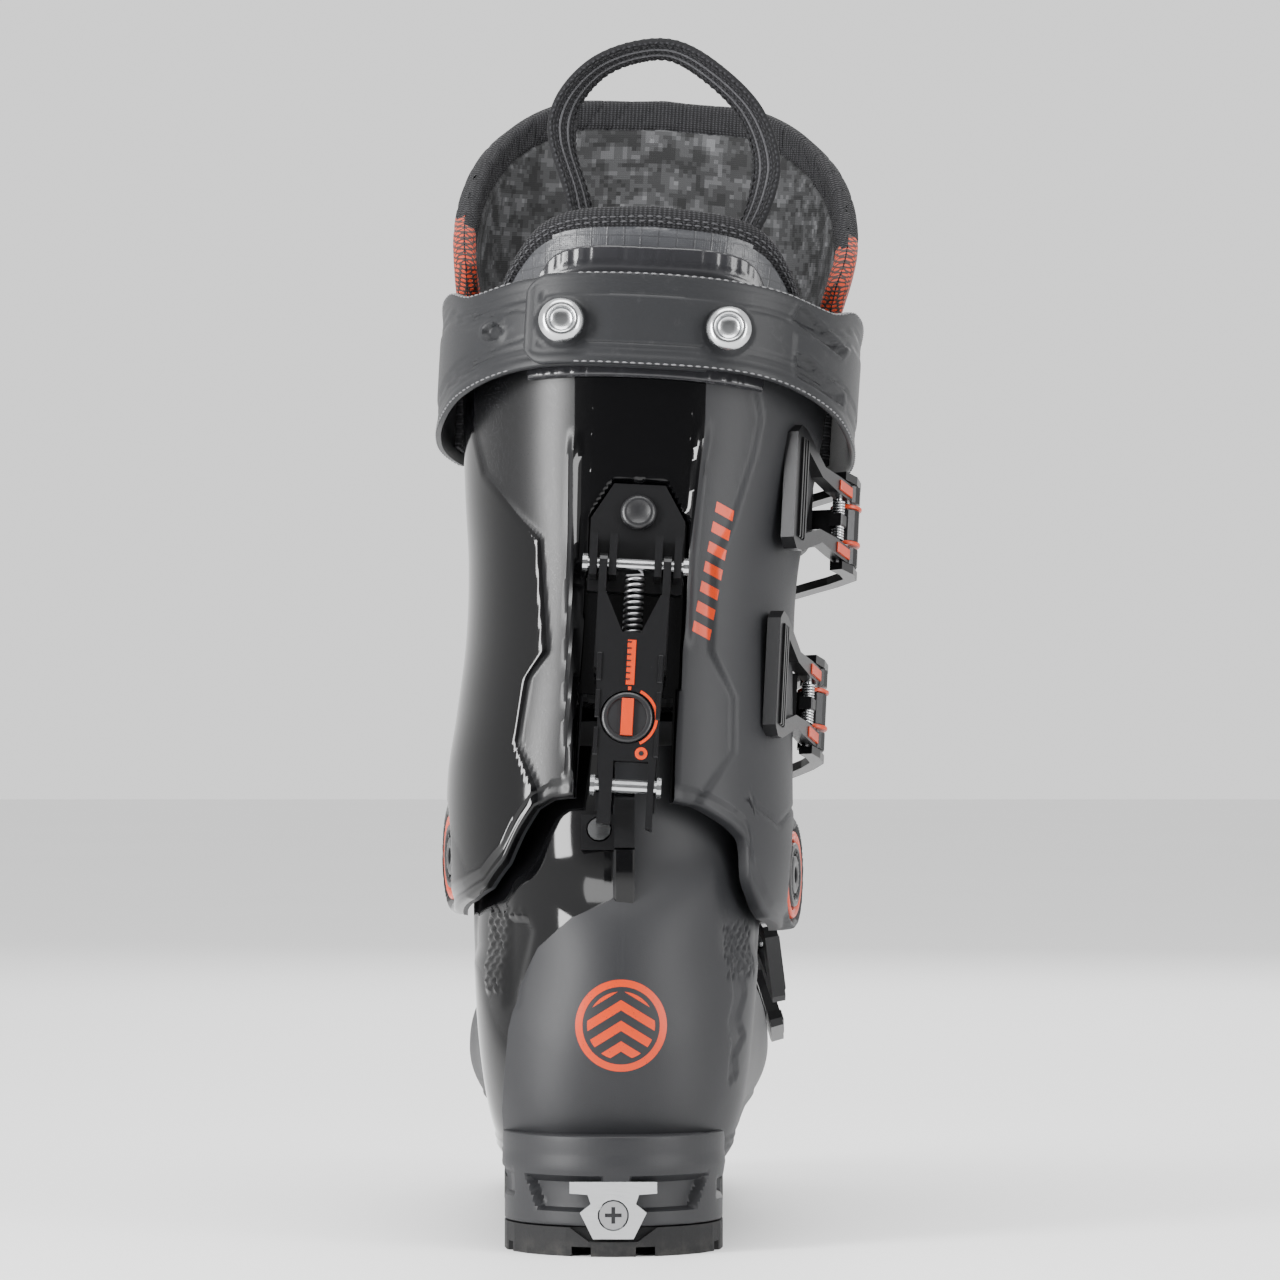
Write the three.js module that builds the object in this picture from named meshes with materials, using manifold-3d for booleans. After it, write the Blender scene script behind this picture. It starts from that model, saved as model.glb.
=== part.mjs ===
// A freeride alpine ski boot for the right foot: a hinged plastic cuff on an overlap shell, four buckles,
// a power strap, a walk-mode lever at the back and a removable padded liner.
// Millimetres. +X is the boot's outer (lateral) side, +Y points to the toe, +Z is up.
// The origin is the middle of the heel pad's underside.
import * as THREE from "three";
import { mergeVertices } from "three/addons/utils/BufferGeometryUtils.js";
import Module from "manifold-3d";

const wasm = await Module();
wasm.setup();

// ---------------------------------------------------------------- driving dimensions
const HEEL_REAR = -45; // back of the heel lug
const TOE_TIP = 270; // front of the toe lug: the sole is 315 long
const SOLE_HALF_WIDTH = 34.5;
const HEEL_LUG = 30; // height of the heel lug's top ledge
const TOE_LUG = 23; // height of the toe lug's top ledge
const PAD = 9; // thickness of the rubber sole pads
const WALL = 5; // plastic wall of shell and cuff
const GAP = 0.4; // between pieces that touch
const LINER = 6; // foam thickness around the foot
const FLOOR = 30.5; // underside of the liner
const ANKLE = new THREE.Vector3(2, 35, 119); // middle of the cuff's hinge axis
const PIVOT_DROP = 6; // the outer ankle pivot sits this much lower than the inner one
const PIVOT_SPAN = 110;
const LEAN = THREE.MathUtils.degToRad(13); // forward lean of the leg
const SIDE_LEAN = 0.052; // outward lean of the leg, as a slope

const STEEL = { color: 0xb8bcc0, roughness: 0.25, metalness: 1 };
const MATTE = { color: 0x35363a, roughness: 0.6, metalness: 0 };
const GLOSS = { color: 0x0c0c0d, roughness: 0.12, metalness: 0 };
const RUBBER = { color: 0x161617, roughness: 0.85, metalness: 0 };
const BLACK_METAL = { color: 0x141415, roughness: 0.4, metalness: 0.6 };
const ORANGE = { color: 0xf0500f, roughness: 0.5, metalness: 0 };
const FOAM = { color: 0x2b2c2f, roughness: 0.9, metalness: 0 };
const WEBBING = { color: 0x0e0e0f, roughness: 0.95, metalness: 0 };

// ---------------------------------------------------------------- small tools
const V = (x, y, z) => new THREE.Vector3(x, y, z);
const rad = THREE.MathUtils.degToRad;
const lerp = THREE.MathUtils.lerp;
const power = (v, e) => Math.sign(v) * Math.abs(v) ** e;

// A smooth curve through rows [place, value, value, ...]: a function from a place to its values.
function spline(rows) {
  return (x) => {
    let i = rows.findIndex((row) => row[0] > x) - 1;
    if (i === -2) i = rows.length - 2;
    i = Math.max(0, i);
    const [a, b] = [rows[i], rows[i + 1]];
    const [before, after] = [rows[i - 1] ?? a, rows[i + 2] ?? b];
    const span = b[0] - a[0];
    const f = THREE.MathUtils.clamp((x - a[0]) / span, 0, 1);
    return a.slice(1).map((_, n) => {
      const k = n + 1;
      const slopeA = ((b[k] - before[k]) / (b[0] - before[0])) * span;
      const slopeB = ((after[k] - a[k]) / (after[0] - a[0])) * span;
      return (
        a[k] * (2 * f ** 3 - 3 * f ** 2 + 1) +
        slopeA * (f ** 3 - 2 * f ** 2 + f) +
        b[k] * (3 * f ** 2 - 2 * f ** 3) +
        slopeB * (f ** 3 - f ** 2)
      );
    });
  };
}

// A three.js geometry as a manifold-3d solid with its faces out.
function solid(geometry) {
  const bare = geometry.clone();
  bare.deleteAttribute("normal");
  bare.deleteAttribute("uv");
  const merged = mergeVertices(bare, 1e-4);
  const triVerts = new Uint32Array(merged.index.array);
  const make = () =>
    new wasm.Manifold(
      new wasm.Mesh({ numProp: 3, vertProperties: merged.attributes.position.array, triVerts }),
    );
  const made = make();
  if (made.volume() > 0) return made;
  for (let i = 0; i < triVerts.length; i += 3)
    [triVerts[i + 1], triVerts[i + 2]] = [triVerts[i + 2], triVerts[i + 1]];
  return make();
}

const union = (...solids) => solids.reduce((a, b) => a.add(b));
const cut = (whole, ...tools) => tools.reduce((a, b) => a.subtract(b), whole);

function box(x0, x1, y0, y1, z0, z1) {
  const g = new THREE.BoxGeometry(x1 - x0, y1 - y0, z1 - z0);
  return solid(g.translate((x0 + x1) / 2, (y0 + y1) / 2, (z0 + z1) / 2));
}

function rod(from, to, radius, sides = 20, endRadius = radius) {
  const along = to.clone().sub(from);
  const g = new THREE.CylinderGeometry(endRadius, radius, along.length(), sides);
  g.translate(0, along.length() / 2, 0);
  g.applyQuaternion(new THREE.Quaternion().setFromUnitVectors(V(0, 1, 0), along.normalize()));
  return solid(g.translate(from.x, from.y, from.z));
}

// Triangles over a grid of points, rows by columns; wrap joins the last column to the first.
function gridFaces(rows, columns, wrap, at = (i, j) => i * columns + j) {
  const faces = [];
  const last = wrap ? columns : columns - 1;
  for (let i = 0; i < rows - 1; i++)
    for (let j = 0; j < last; j++) {
      const k = (j + 1) % columns;
      faces.push(at(i, j), at(i, k), at(i + 1, k), at(i, j), at(i + 1, k), at(i + 1, j));
    }
  return faces;
}

function geometryFrom(points, faces) {
  const g = new THREE.BufferGeometry().setFromPoints(points);
  g.setIndex(faces);
  return g;
}

// A closed body through rings of points, with a flat cap at each end.
function loft(rings) {
  const n = rings[0].length;
  const points = rings.flat();
  const faces = gridFaces(rings.length, n, true);
  for (const [ring, first] of [[rings[0], 0], [rings.at(-1), (rings.length - 1) * n]]) {
    const centre = ring.reduce((a, p) => a.add(p), V(0, 0, 0)).divideScalar(n);
    points.push(centre);
    for (let j = 0; j < n; j++) {
      const k = (j + 1) % n;
      const triangle = [first + j, points.length - 1, first + k];
      faces.push(...(first ? triangle.reverse() : triangle));
    }
  }
  return solid(geometryFrom(points, faces));
}

// A closed sheet with thickness: outer and inner are grids of points, rows by columns.
function sheet(outer, inner) {
  const rows = outer.length;
  const columns = outer[0].length;
  const points = [...outer.flat(), ...inner.flat()];
  const half = rows * columns;
  const faces = gridFaces(rows, columns, false);
  faces.push(...gridFaces(rows, columns, false, (i, j) => half + i * columns + j).reverse());
  const edge = [];
  for (let j = 0; j < columns; j++) edge.push(j);
  for (let i = 1; i < rows; i++) edge.push(i * columns + columns - 1);
  for (let j = columns - 2; j >= 0; j--) edge.push((rows - 1) * columns + j);
  for (let i = rows - 2; i >= 1; i--) edge.push(i * columns);
  edge.forEach((a, n) => {
    const b = edge[(n + 1) % edge.length];
    faces.push(b, a, half + a, b, half + a, half + b);
  });
  return solid(geometryFrom(points, faces));
}

// A band that follows points. Its width runs from low to high along across, which may turn on the way.
function ribbon(points, across, low, high, thickness) {
  const side = (offset) =>
    points.map((p, i) => {
      const wide = Array.isArray(across) ? across[i] : across;
      const along = points[Math.min(i + 1, points.length - 1)].clone();
      along.sub(points[Math.max(i - 1, 0)]);
      const normal = along.cross(wide).normalize().multiplyScalar(offset);
      return [low, high].map((w) => p.clone().add(normal).addScaledVector(wide, w));
    });
  return sheet(side(thickness / 2), side(-thickness / 2));
}

// A flat plate: an outline of [x, y] points with holes, drawn in a plane and given its thickness.
function plate(outline, thickness, holes = []) {
  const turned = (list, clockwise) => {
    const points = list.map(([x, y]) => new THREE.Vector2(x, y));
    return THREE.ShapeUtils.isClockWise(points) === clockwise ? points : points.reverse();
  };
  const shape = new THREE.Shape(turned(outline, false));
  shape.holes = holes.map((hole) => new THREE.Path(turned(hole, true)));
  return solid(new THREE.ExtrudeGeometry(shape, { depth: thickness, bevelEnabled: false }));
}

const mirrored = (half) => [...half, ...half.map(([x, y]) => [x, -y]).reverse()];

// A solid drawn in local axes, moved so that its x, y and z lie along three vectors from an origin.
function placed(body, origin, x, y, z) {
  const m = new THREE.Matrix4().makeBasis(x, y, z).setPosition(origin);
  return body.transform(m.elements);
}

const boot = new THREE.Group();

function node(name, body, finish) {
  const { numProp, vertProperties, triVerts, numVert } = body.getMesh();
  const position = new Float32Array(numVert * 3);
  for (let i = 0; i < numVert; i++)
    position.set(vertProperties.subarray(i * numProp, i * numProp + 3), i * 3);
  const g = new THREE.BufferGeometry();
  g.setAttribute("position", new THREE.BufferAttribute(position, 3));
  g.setIndex(new THREE.BufferAttribute(triVerts, 1));
  const mesh = new THREE.Mesh(g, new THREE.MeshStandardMaterial(finish));
  mesh.name = name;
  boot.add(mesh);
}

// ---------------------------------------------------------------- the shell's form
// The shell is a bent tube: sections fan from the toe round the heel to the ankle. Each section runs from a
// point on the sole or the back to one on the instep, with half-widths to the inner and outer side.
// Row: place, back y, back z, front y, front z, inner, outer, roundness at the back, roundness at the front.
const SHELL_SECTIONS = spline([
  [0, 254, 30, 254, 46, 13, 12, 2, 2],
  [1, 250, 24, 251, 55, 25, 24, 2.1, 2.2],
  [2, 241, 19, 244, 64, 34, 33, 2.1, 2.3],
  [3, 224, 18, 230, 71, 42, 41, 2.1, 2.4],
  [4, 200, 18, 208, 78, 48, 47.5, 2, 2.5],
  [5, 170, 18, 184, 85, 49.5, 51, 2, 2.4],
  [6, 140, 18, 160, 94, 46.5, 50.5, 2.1, 2.3],
  [7, 106, 18, 135, 105, 44, 47, 2.5, 2.2],
  [8, 66, 18, 112, 117, 42, 43.5, 3.2, 2.2],
  [9, 26, 18, 100, 129, 41, 41.5, 3.8, 2.2],
  [10, -14, 20, 95.5, 139, 42.5, 43.5, 3.4, 2.2],
  [11, -33, 33, 92.5, 146, 44.5, 45.5, 2.7, 2.2],
  [12, -38.5, 60, 90.5, 152, 45.2, 47, 2.25, 2.2],
  [13, -37, 84, 89.5, 156, 44, 46.8, 1.9, 2.2],
  [14, -31, 104, 88.5, 159, 43, 46.6, 1.9, 2.2],
  [15, -20.5, 121, 88, 161, 42.8, 47, 1.95, 2.2],
  [16, -13.5, 141, 87.5, 163, 42, 47, 2, 2.2],
  [17, -5, 158, 87, 165, 41.5, 47, 2, 2.2],
]);
const SHELL_END = 17;

// A point of the shell at a section, an angle (0 outer side, 90 instep, 180 inner side, 270 sole or back)
// and a depth below the outer surface.
function shellPoint(place, degrees, inset) {
  const [by, bz, fy, fz, inner, outer, backPower, frontPower] = SHELL_SECTIONS(place);
  const [dy, dz] = [fy - by, fz - bz];
  const length = Math.hypot(dy, dz);
  const half = length / 2 - inset;
  const [c, s] = [Math.cos(rad(degrees)), Math.sin(rad(degrees))];
  const e = 2 / (s < 0 ? backPower : frontPower);
  const x = power(c, e) * ((c < 0 ? inner : outer) - inset);
  const along = length / 2 + power(s, e) * half;
  return V(x, by + (dy / length) * along, bz + (dz / length) * along);
}

function shellRings(from, to, inset, count = 24) {
  const places = [from];
  for (let place = Math.floor(from) + 1; place <= to; place++) places.push(place);
  return places.map((place) =>
    Array.from({ length: count }, (_, i) => shellPoint(place, (i * 360) / count, inset)),
  );
}

// The same tube opened at the ankle: its last ring is repeated this much further up.
function shellCavity(from, inset) {
  const rings = shellRings(from, SHELL_END, inset);
  rings.push(rings.at(-1).map((p) => p.clone().add(V(0, -2, 30))));
  return loft(rings);
}

// ---------------------------------------------------------------- the sole
// Outline of the sole seen from above: round heel, narrow waist, wide forefoot, round toe.
function soleOutline() {
  const r = SOLE_HALF_WIDTH;
  const heel = HEEL_REAR + SOLE_HALF_WIDTH;
  const toe = TOE_TIP - SOLE_HALF_WIDTH;
  const shape = new THREE.Shape();
  shape.absarc(0, heel, r, Math.PI, 2 * Math.PI, false);
  shape.splineThru([
    new THREE.Vector2(32.5, 55),
    new THREE.Vector2(34.5, 115),
    new THREE.Vector2(36.8, 170),
    new THREE.Vector2(r, toe),
  ]);
  shape.absarc(0, toe, r, 0, Math.PI, false);
  shape.splineThru([
    new THREE.Vector2(-38.5, 180),
    new THREE.Vector2(-35, 120),
    new THREE.Vector2(-31, 65),
    new THREE.Vector2(-r, heel),
  ]);
  return shape;
}

function soleSlab(z0, z1) {
  const settings = { depth: z1 - z0, bevelEnabled: false, curveSegments: 7 };
  const g = new THREE.ExtrudeGeometry(soleOutline(), settings);
  return solid(g.translate(0, 0, z0));
}

const HEEL_PAD_FRONT = 46;
const TOE_PAD_BACK = 96;
const HEEL_LUG_FRONT = 56;
const TOE_LUG_BACK = 236;
const EDGE = 400; // beyond every surface, for cutting boxes

function treaded(pad, grooves) {
  const slots = grooves.map(([x0, x1, y0, y1]) => box(x0, x1, y0, y1, -1, 3));
  return cut(pad, ...slots);
}

function heelPad() {
  const pad = soleSlab(0, PAD).intersect(box(-EDGE, EDGE, -EDGE, HEEL_PAD_FRONT, -1, EDGE));
  return treaded(cut(pad, window), [
    [-EDGE, -13, -24, -20],
    [13, EDGE, -24, -20],
    [-EDGE, -13, -2, 2],
    [13, EDGE, -2, 2],
    [-EDGE, -13, 20, 24],
    [13, EDGE, 20, 24],
    [-13, -7, -EDGE, -32],
    [7, 13, -EDGE, -32],
  ]);
}

// The toe pad lifts towards the tip, so that the boot rolls forward when it walks.
function toePad() {
  const pad = soleSlab(0, PAD).intersect(box(-EDGE, EDGE, TOE_PAD_BACK, EDGE, -1, EDGE));
  const rocker = plate([[222, -1], [EDGE, -1], [EDGE, 12]], 2 * EDGE);
  const lifted = placed(rocker, V(-EDGE, 0, 0), V(0, 1, 0), V(0, 0, 1), V(1, 0, 0));
  return treaded(cut(pad, lifted), [
    [-EDGE, -14, 118, 122],
    [14, EDGE, 118, 122],
    [-EDGE, -14, 146, 150],
    [14, EDGE, 146, 150],
    [-EDGE, -14, 174, 178],
    [14, EDGE, 174, 178],
    [-EDGE, -14, 202, 206],
    [14, EDGE, 202, 206],
  ]);
}

// ---------------------------------------------------------------- the heel and toe inserts
const INSERT_FACE = HEEL_REAR - 0.5; // the steel plate stands a little proud of the heel
const INSERT_OUTLINE = mirrored([
  [23.4, 0],
  [23.4, 13.6],
  [19.8, 13.6],
  [19.4, 8],
  [16.5, 7],
  [13.8, 10.4],
  [5.6, 6.3],
]).map(([z, x]) => [x, z]);

// An outline in x and z, given its thickness forward from a place along the boot.
function upright(outline, y, thickness, holes = []) {
  const front = V(0, y + thickness, 0);
  return placed(plate(outline, thickness, holes), front, V(1, 0, 0), V(0, 0, 1), V(0, -1, 0));
}

// The black window in the heel lug that the insert sits in.
const WINDOW = mirrored([
  [24.6, 0],
  [24.6, 28],
  [19.5, 28],
  [17, 19],
  [9.6, 14.6],
  [4.6, 7.6],
]).map(([z, x]) => [x, z]);
const WINDOW_DEPTH = 4;
const window = upright(WINDOW, HEEL_REAR - 3, 3 + WINDOW_DEPTH);

function heelInsert() {
  const body = upright(INSERT_OUTLINE, INSERT_FACE, HEEL_REAR + WINDOW_DEPTH - GAP - INSERT_FACE);
  return cut(body, rod(V(0, INSERT_FACE - 1, 13), V(0, INSERT_FACE + 2.6, 13), 4.9, 18));
}

function heelInsertScrew() {
  const head = rod(V(0, INSERT_FACE + 0.2, 13), V(0, INSERT_FACE + 2.3, 13), 4.4, 18);
  return cut(
    head,
    box(-2.6, 2.6, INSERT_FACE, INSERT_FACE + 1.4, 12.4, 13.6),
    box(-0.6, 0.6, INSERT_FACE, INSERT_FACE + 1.4, 10.4, 15.6),
  );
}

const TOE_PIN_Y = 256;
const TOE_PIN_Z = 15.5;
const TOE_PIN_HALF = 30;

function toeInsert() {
  const bar = rod(V(-TOE_PIN_HALF, TOE_PIN_Y, TOE_PIN_Z), V(TOE_PIN_HALF, TOE_PIN_Y, TOE_PIN_Z), 4.2, 16);
  const cup = (sign) => {
    const [mouth, tip] = [1, -4].map((d) => V(sign * (TOE_PIN_HALF + d), TOE_PIN_Y, TOE_PIN_Z));
    return rod(mouth, tip, 3.2, 16, 0.8);
  };
  return cut(bar, cup(1), cup(-1));
}

// ---------------------------------------------------------------- the leg's frame and the cuff's form
const up = V(SIDE_LEAN, Math.sin(LEAN), Math.cos(LEAN)).normalize();
const side = V(1, 0, 0).addScaledVector(up, -up.x).normalize();
const fore = up.clone().cross(side);
const back = fore.clone().negate();

// A point in the leg's frame: sideways, forwards and up from the ankle.
const leg = (x, y, h) =>
  ANKLE.clone().addScaledVector(side, x).addScaledVector(fore, y).addScaledVector(up, h);

// Rows: height, half-width inside, half-width outside, depth behind, depth in front.
const CUFF_SECTIONS = spline([
  [-30, 51, 51.5, 59, 66],
  [0, 55, 55, 61, 68],
  [25, 56.3, 53.5, 60.7, 68],
  [45, 54.6, 52.5, 60, 66],
  [70, 53, 51.5, 58.4, 59],
  [95, 53.6, 51.5, 58, 56],
  [118, 56, 54, 59.6, 55],
  [135, 57.5, 56.5, 61.5, 54.5],
  [175, 60, 60.5, 66, 55],
  [215, 60, 61, 68, 58],
]);
const CUFF_POWER = 2.35;
const STRAP_SECTIONS = spline([
  [120, 70, 69, 75, 68],
  [160, 70.5, 69.5, 75.4, 68],
  [200, 70.5, 70.5, 76, 68],
]);
const LINER_SECTIONS = spline([
  [50, 46, 46, 52, 52],
  [95, 46.5, 45.5, 51.7, 49.5],
  [130, 50, 48.5, 54.6, 48],
  [165, 53, 53, 58.8, 48],
  [185, 56, 57, 60, 50],
  [210, 58, 60, 61, 52],
]);
const TONGUE_SECTIONS = spline([
  [55, 44, 44, 50, 50],
  [95, 45, 44.5, 50, 49],
  [148, 49, 48, 50, 48.5],
  [168, 58, 57, 50, 52],
  [185, 63.5, 62, 50, 57],
  [210, 66.5, 67.5, 50, 62],
  [280, 68, 68.5, 50, 68],
]);

// A point of a tube round the leg. Degrees run from 0 at the back over 90 at the outer side to 180 in front.
function legPoint(sections, degrees, h, inset) {
  const [inner, outer, behind, front] = sections(h);
  const [s, c] = [Math.sin(rad(degrees)), Math.cos(rad(degrees))];
  const e = 2 / CUFF_POWER;
  return leg(
    power(s, e) * ((s < 0 ? inner : outer) - inset),
    -power(c, e) * ((c < 0 ? front : behind) - inset),
    h,
  );
}

// The outer flap of the cuff rides over the inner one across the front.
const FLAP_START = 128;
const FLAP_OVER = 148;
const OUTER_FLAP_END = 190;
const INNER_FLAP_END = -208;
function flapLift(degrees) {
  const f = THREE.MathUtils.smoothstep(degrees, FLAP_START, FLAP_OVER);
  return f * (WALL + 0.8);
}

const cuffPoint = (degrees, h, inset) => legPoint(CUFF_SECTIONS, degrees, h, inset - flapLift(degrees));

// Lower and upper edge of the cuff by angle.
const CUFF_LOW = spline([
  [0, 11],
  [22, 9],
  [40, 3],
  [52, -4],
  [64, -15],
  [90, -19],
  [110, -6],
  [135, 22],
  [165, 46],
  [215, 49],
]);
const CUFF_HIGH = spline([[0, 171], [40, 168], [90, 154], [140, 139], [215, 137]]);

// A sheet round the leg between two angles, from a lower edge to an upper edge.
function legSheet(point, from, to, low, high, outset, inset, columns, rows) {
  const grid = (depth) =>
    Array.from({ length: columns + 1 }, (_, i) => {
      const degrees = lerp(from, to, i / columns);
      return Array.from({ length: rows + 1 }, (_, j) =>
        point(degrees, lerp(low(degrees), high(degrees), j / rows), depth),
      );
    });
  return sheet(grid(outset), grid(inset));
}

// The whole space inside a tube round the leg, for trimming what stands on it.
function legCore(point, low, high, inset, columns = 46) {
  const rings = [];
  for (let i = 0; i <= 12; i++) {
    const h = lerp(low, high, i / 12);
    rings.push(Array.from({ length: columns + 1 }, (_, j) => point((j * 360) / columns - 170, h, inset)));
  }
  return loft(rings);
}

// ---------------------------------------------------------------- the ankle pivots
const hingeAxis = V(PIVOT_SPAN, 0, -PIVOT_DROP).normalize();
const DISC_TURN = rad(11); // the pivot discs face a little backwards
const DISC_RADIUS = 14.2;

function pivot(sign) {
  const axis = hingeAxis.clone().multiplyScalar(sign);
  const out = V(sign * Math.cos(DISC_TURN), -Math.sin(DISC_TURN), 0);
  const face = ANKLE.clone().addScaledVector(axis, sign < 0 ? 55 : 56.4);
  const at = (depth) => face.clone().addScaledVector(out, -depth);
  const onAxis = (distance) => ANKLE.clone().addScaledVector(axis, distance);
  return {
    boss: rod(at(14), at(0.8), 17.4, 20, 15.8),
    recess: rod(at(2.8), at(-2), DISC_RADIUS + 0.6, 24),
    hole: rod(onAxis(35), onAxis(70), 6.6, 16),
    bolt: rod(onAxis(sign < 0 ? 42.2 : 43), onAxis(sign < 0 ? 50.6 : 52), 5.9, 16),
    cap: rod(at(2.4), at(-0.6), DISC_RADIUS - 3.6, 20, DISC_RADIUS - 4.4),
    ring: cut(rod(at(2.4), at(0), DISC_RADIUS, 24), rod(at(4), at(-2), DISC_RADIUS - 3, 24)),
  };
}
const innerPivot = pivot(-1);
const outerPivot = pivot(1);

// ---------------------------------------------------------------- the walk-mode mechanism
// It is drawn in the leg's frame: x sideways from the boot's back line, y forwards, h up.
const BACK_X = 0.5;
const FLOOR_Y = -55.2; // floor of the channel in the cuff that holds it
const HINGE_H = 85.2;
const CROSS_H = 12.5;
const CROSS_Y = -67;
const RIB_RADIUS = 63.4;

const legBox = (x0, x1, y0, y1, h0, h1) => placed(box(x0, x1, y0, y1, h0, h1), ANKLE, side, fore, up);
const legRod = (a, b, r, sides) => rod(leg(...a), leg(...b), r, sides);

// An outline in x and h, given its thickness backwards from a depth y.
function legPlate(outline, y, thickness, holes = []) {
  return placed(plate(outline, thickness, holes), leg(0, y, 0), side, up, back);
}

const circle = (cx, cy, r, n = 24) =>
  Array.from({ length: n }, (_, i) => [
    cx + r * Math.cos((i * 2 * Math.PI) / n),
    cy + r * Math.sin((i * 2 * Math.PI) / n),
  ]);

const CHANNEL = [
  [BACK_X - 15.5, -5],
  [BACK_X + 15.5, -5],
  [BACK_X + 15.5, 101],
  [BACK_X + 8.5, 113],
  [BACK_X - 8.5, 113],
  [BACK_X - 15.5, 101],
];

function walkBracket() {
  const base = legPlate(
    [
      [BACK_X - 15, 77],
      [BACK_X + 15, 77],
      [BACK_X + 15, 100.8],
      [BACK_X + 8.2, 112.4],
      [BACK_X - 8.2, 112.4],
      [BACK_X - 15, 100.8],
    ],
    FLOOR_Y - GAP,
    2,
  );
  const ears = [-14.6, -8.4, 6, 12.2].map((x) =>
    legBox(BACK_X + x, BACK_X + x + 2.4, FLOOR_Y - 10.5, FLOOR_Y - GAP - 1, 80.5, 94),
  );
  const hinge = legRod([BACK_X - 20, FLOOR_Y - 6, HINGE_H], [BACK_X + 20, FLOOR_Y - 6, HINGE_H], 2.2, 12);
  const screw = legRod([BACK_X, FLOOR_Y + 5, 103], [BACK_X, FLOOR_Y - 8, 103], 3.4, 14);
  return cut(union(base, ...ears), hinge, screw);
}

function walkPin() {
  const y = FLOOR_Y - 6;
  const shaft = legRod([BACK_X - 15.6, y, HINGE_H], [BACK_X + 15.6, y, HINGE_H], 1.8, 14);
  const head = (x) => legRod([BACK_X + x - 0.8, y, HINGE_H], [BACK_X + x + 0.8, y, HINGE_H], 3, 14);
  return union(shaft, head(-16), head(16));
}

function walkScrew() {
  const head = legRod([BACK_X, FLOOR_Y - 2.8, 103], [BACK_X, FLOOR_Y - 4.6, 103], 4.8, 18);
  return union(head, legRod([BACK_X, FLOOR_Y - 1, 103], [BACK_X, FLOOR_Y - 3.5, 103], 3, 12));
}

const KNOB_H = 34;
const KNOB_RADIUS = 8.1;

// A channel with a web at the back and a flange on each side; two arms reach up to the hinge.
// The web has a slot for the shell's rib at its lower edge and a round window for the knob.
function walkLever() {
  const web = legPlate(
    [
      [BACK_X - 8, 0],
      [BACK_X - 3.6, -0.4],
      [BACK_X - 3.6, 20],
      [BACK_X + 7.4, 20],
      [BACK_X + 7.4, -1.2],
      [BACK_X + 9.6, -2],
      [BACK_X + 9.4, 9],
      [BACK_X + 11, 55],
      [BACK_X + 11.3, 74],
      [BACK_X + 8.6, 74],
      [BACK_X + 3, 61.5],
      [BACK_X - 3, 61.5],
      [BACK_X - 8.6, 74],
      [BACK_X - 11.3, 74],
      [BACK_X - 11, 55],
      [BACK_X - 7.6, 9],
    ],
    CROSS_Y + 0.8,
    2.6,
    [circle(BACK_X, KNOB_H, KNOB_RADIUS + 0.5)],
  );
  const parts = [-1, 1].flatMap((sign) => {
    const [x0, x1] = [BACK_X + sign * 8.9, BACK_X + sign * 11.4].sort((a, b) => a - b);
    const arm = legBox(x0, x1, CROSS_Y, FLOOR_Y - 2.8, 50, HINGE_H);
    const eye = legRod([x0, FLOOR_Y - 6, HINGE_H], [x1, FLOOR_Y - 6, HINGE_H], 3.2, 16);
    const outline = [
      [CROSS_Y + 0.2, 4],
      [CROSS_Y + 5.2, 6],
      [FLOOR_Y - 5.6, 20],
      [FLOOR_Y - 2.8, 52],
      [CROSS_Y + 0.2, 52],
    ];
    const flange = placed(plate(outline, 2.4), leg(BACK_X + (sign < 0 ? -8.6 : 7.6), 0, 0), fore, up, side);
    return [arm, eye, flange];
  });
  return cut(
    union(web, ...parts),
    legRod([BACK_X - 20, FLOOR_Y - 6, HINGE_H], [BACK_X + 20, FLOOR_Y - 6, HINGE_H], 2.2, 16),
    legRod([BACK_X - 20, CROSS_Y + 1.2, CROSS_H], [BACK_X + 20, CROSS_Y + 1.2, CROSS_H], 2.7, 16),
  );
}

function crossPin() {
  const y = CROSS_Y + 1.2;
  const shaft = legRod([BACK_X - 9.4, y, CROSS_H], [BACK_X + 10.8, y, CROSS_H], 2.3, 14);
  const head = (x) => legRod([BACK_X + x - 0.7, y, CROSS_H], [BACK_X + x + 0.7, y, CROSS_H], 3.4, 14);
  return union(shaft, head(-9.8), head(11.1));
}

function walkKnob() {
  const disc = legRod([BACK_X, CROSS_Y - 0.2, KNOB_H], [BACK_X, CROSS_Y - 2.6, KNOB_H], KNOB_RADIUS, 24);
  const slot = legBox(BACK_X - 1.9, BACK_X + 1.9, CROSS_Y - 4, CROSS_Y - 1.2, KNOB_H - 6.6, KNOB_H + 6.6);
  return cut(disc, slot);
}

// A coil that draws the lever in: a round wire along a helix.
class Helix extends THREE.Curve {
  constructor(turns, radius, from, to) {
    super();
    Object.assign(this, { turns, radius, from, to });
  }
  getPoint(t) {
    const a = t * this.turns * 2 * Math.PI;
    return leg(
      BACK_X + this.radius * Math.cos(a),
      FLOOR_Y - 6 + this.radius * Math.sin(a),
      lerp(this.from, this.to, t),
    );
  }
}

function walkSpring() {
  const turns = 7;
  const wire = new THREE.Shape(circle(0, 0, 0.5, 4).map(([x, y]) => new THREE.Vector2(x, y)));
  const extrudePath = new Helix(turns, 2.7, 63, 81);
  return solid(new THREE.ExtrudeGeometry(wire, { steps: turns * 8, extrudePath, bevelEnabled: false }));
}

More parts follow.
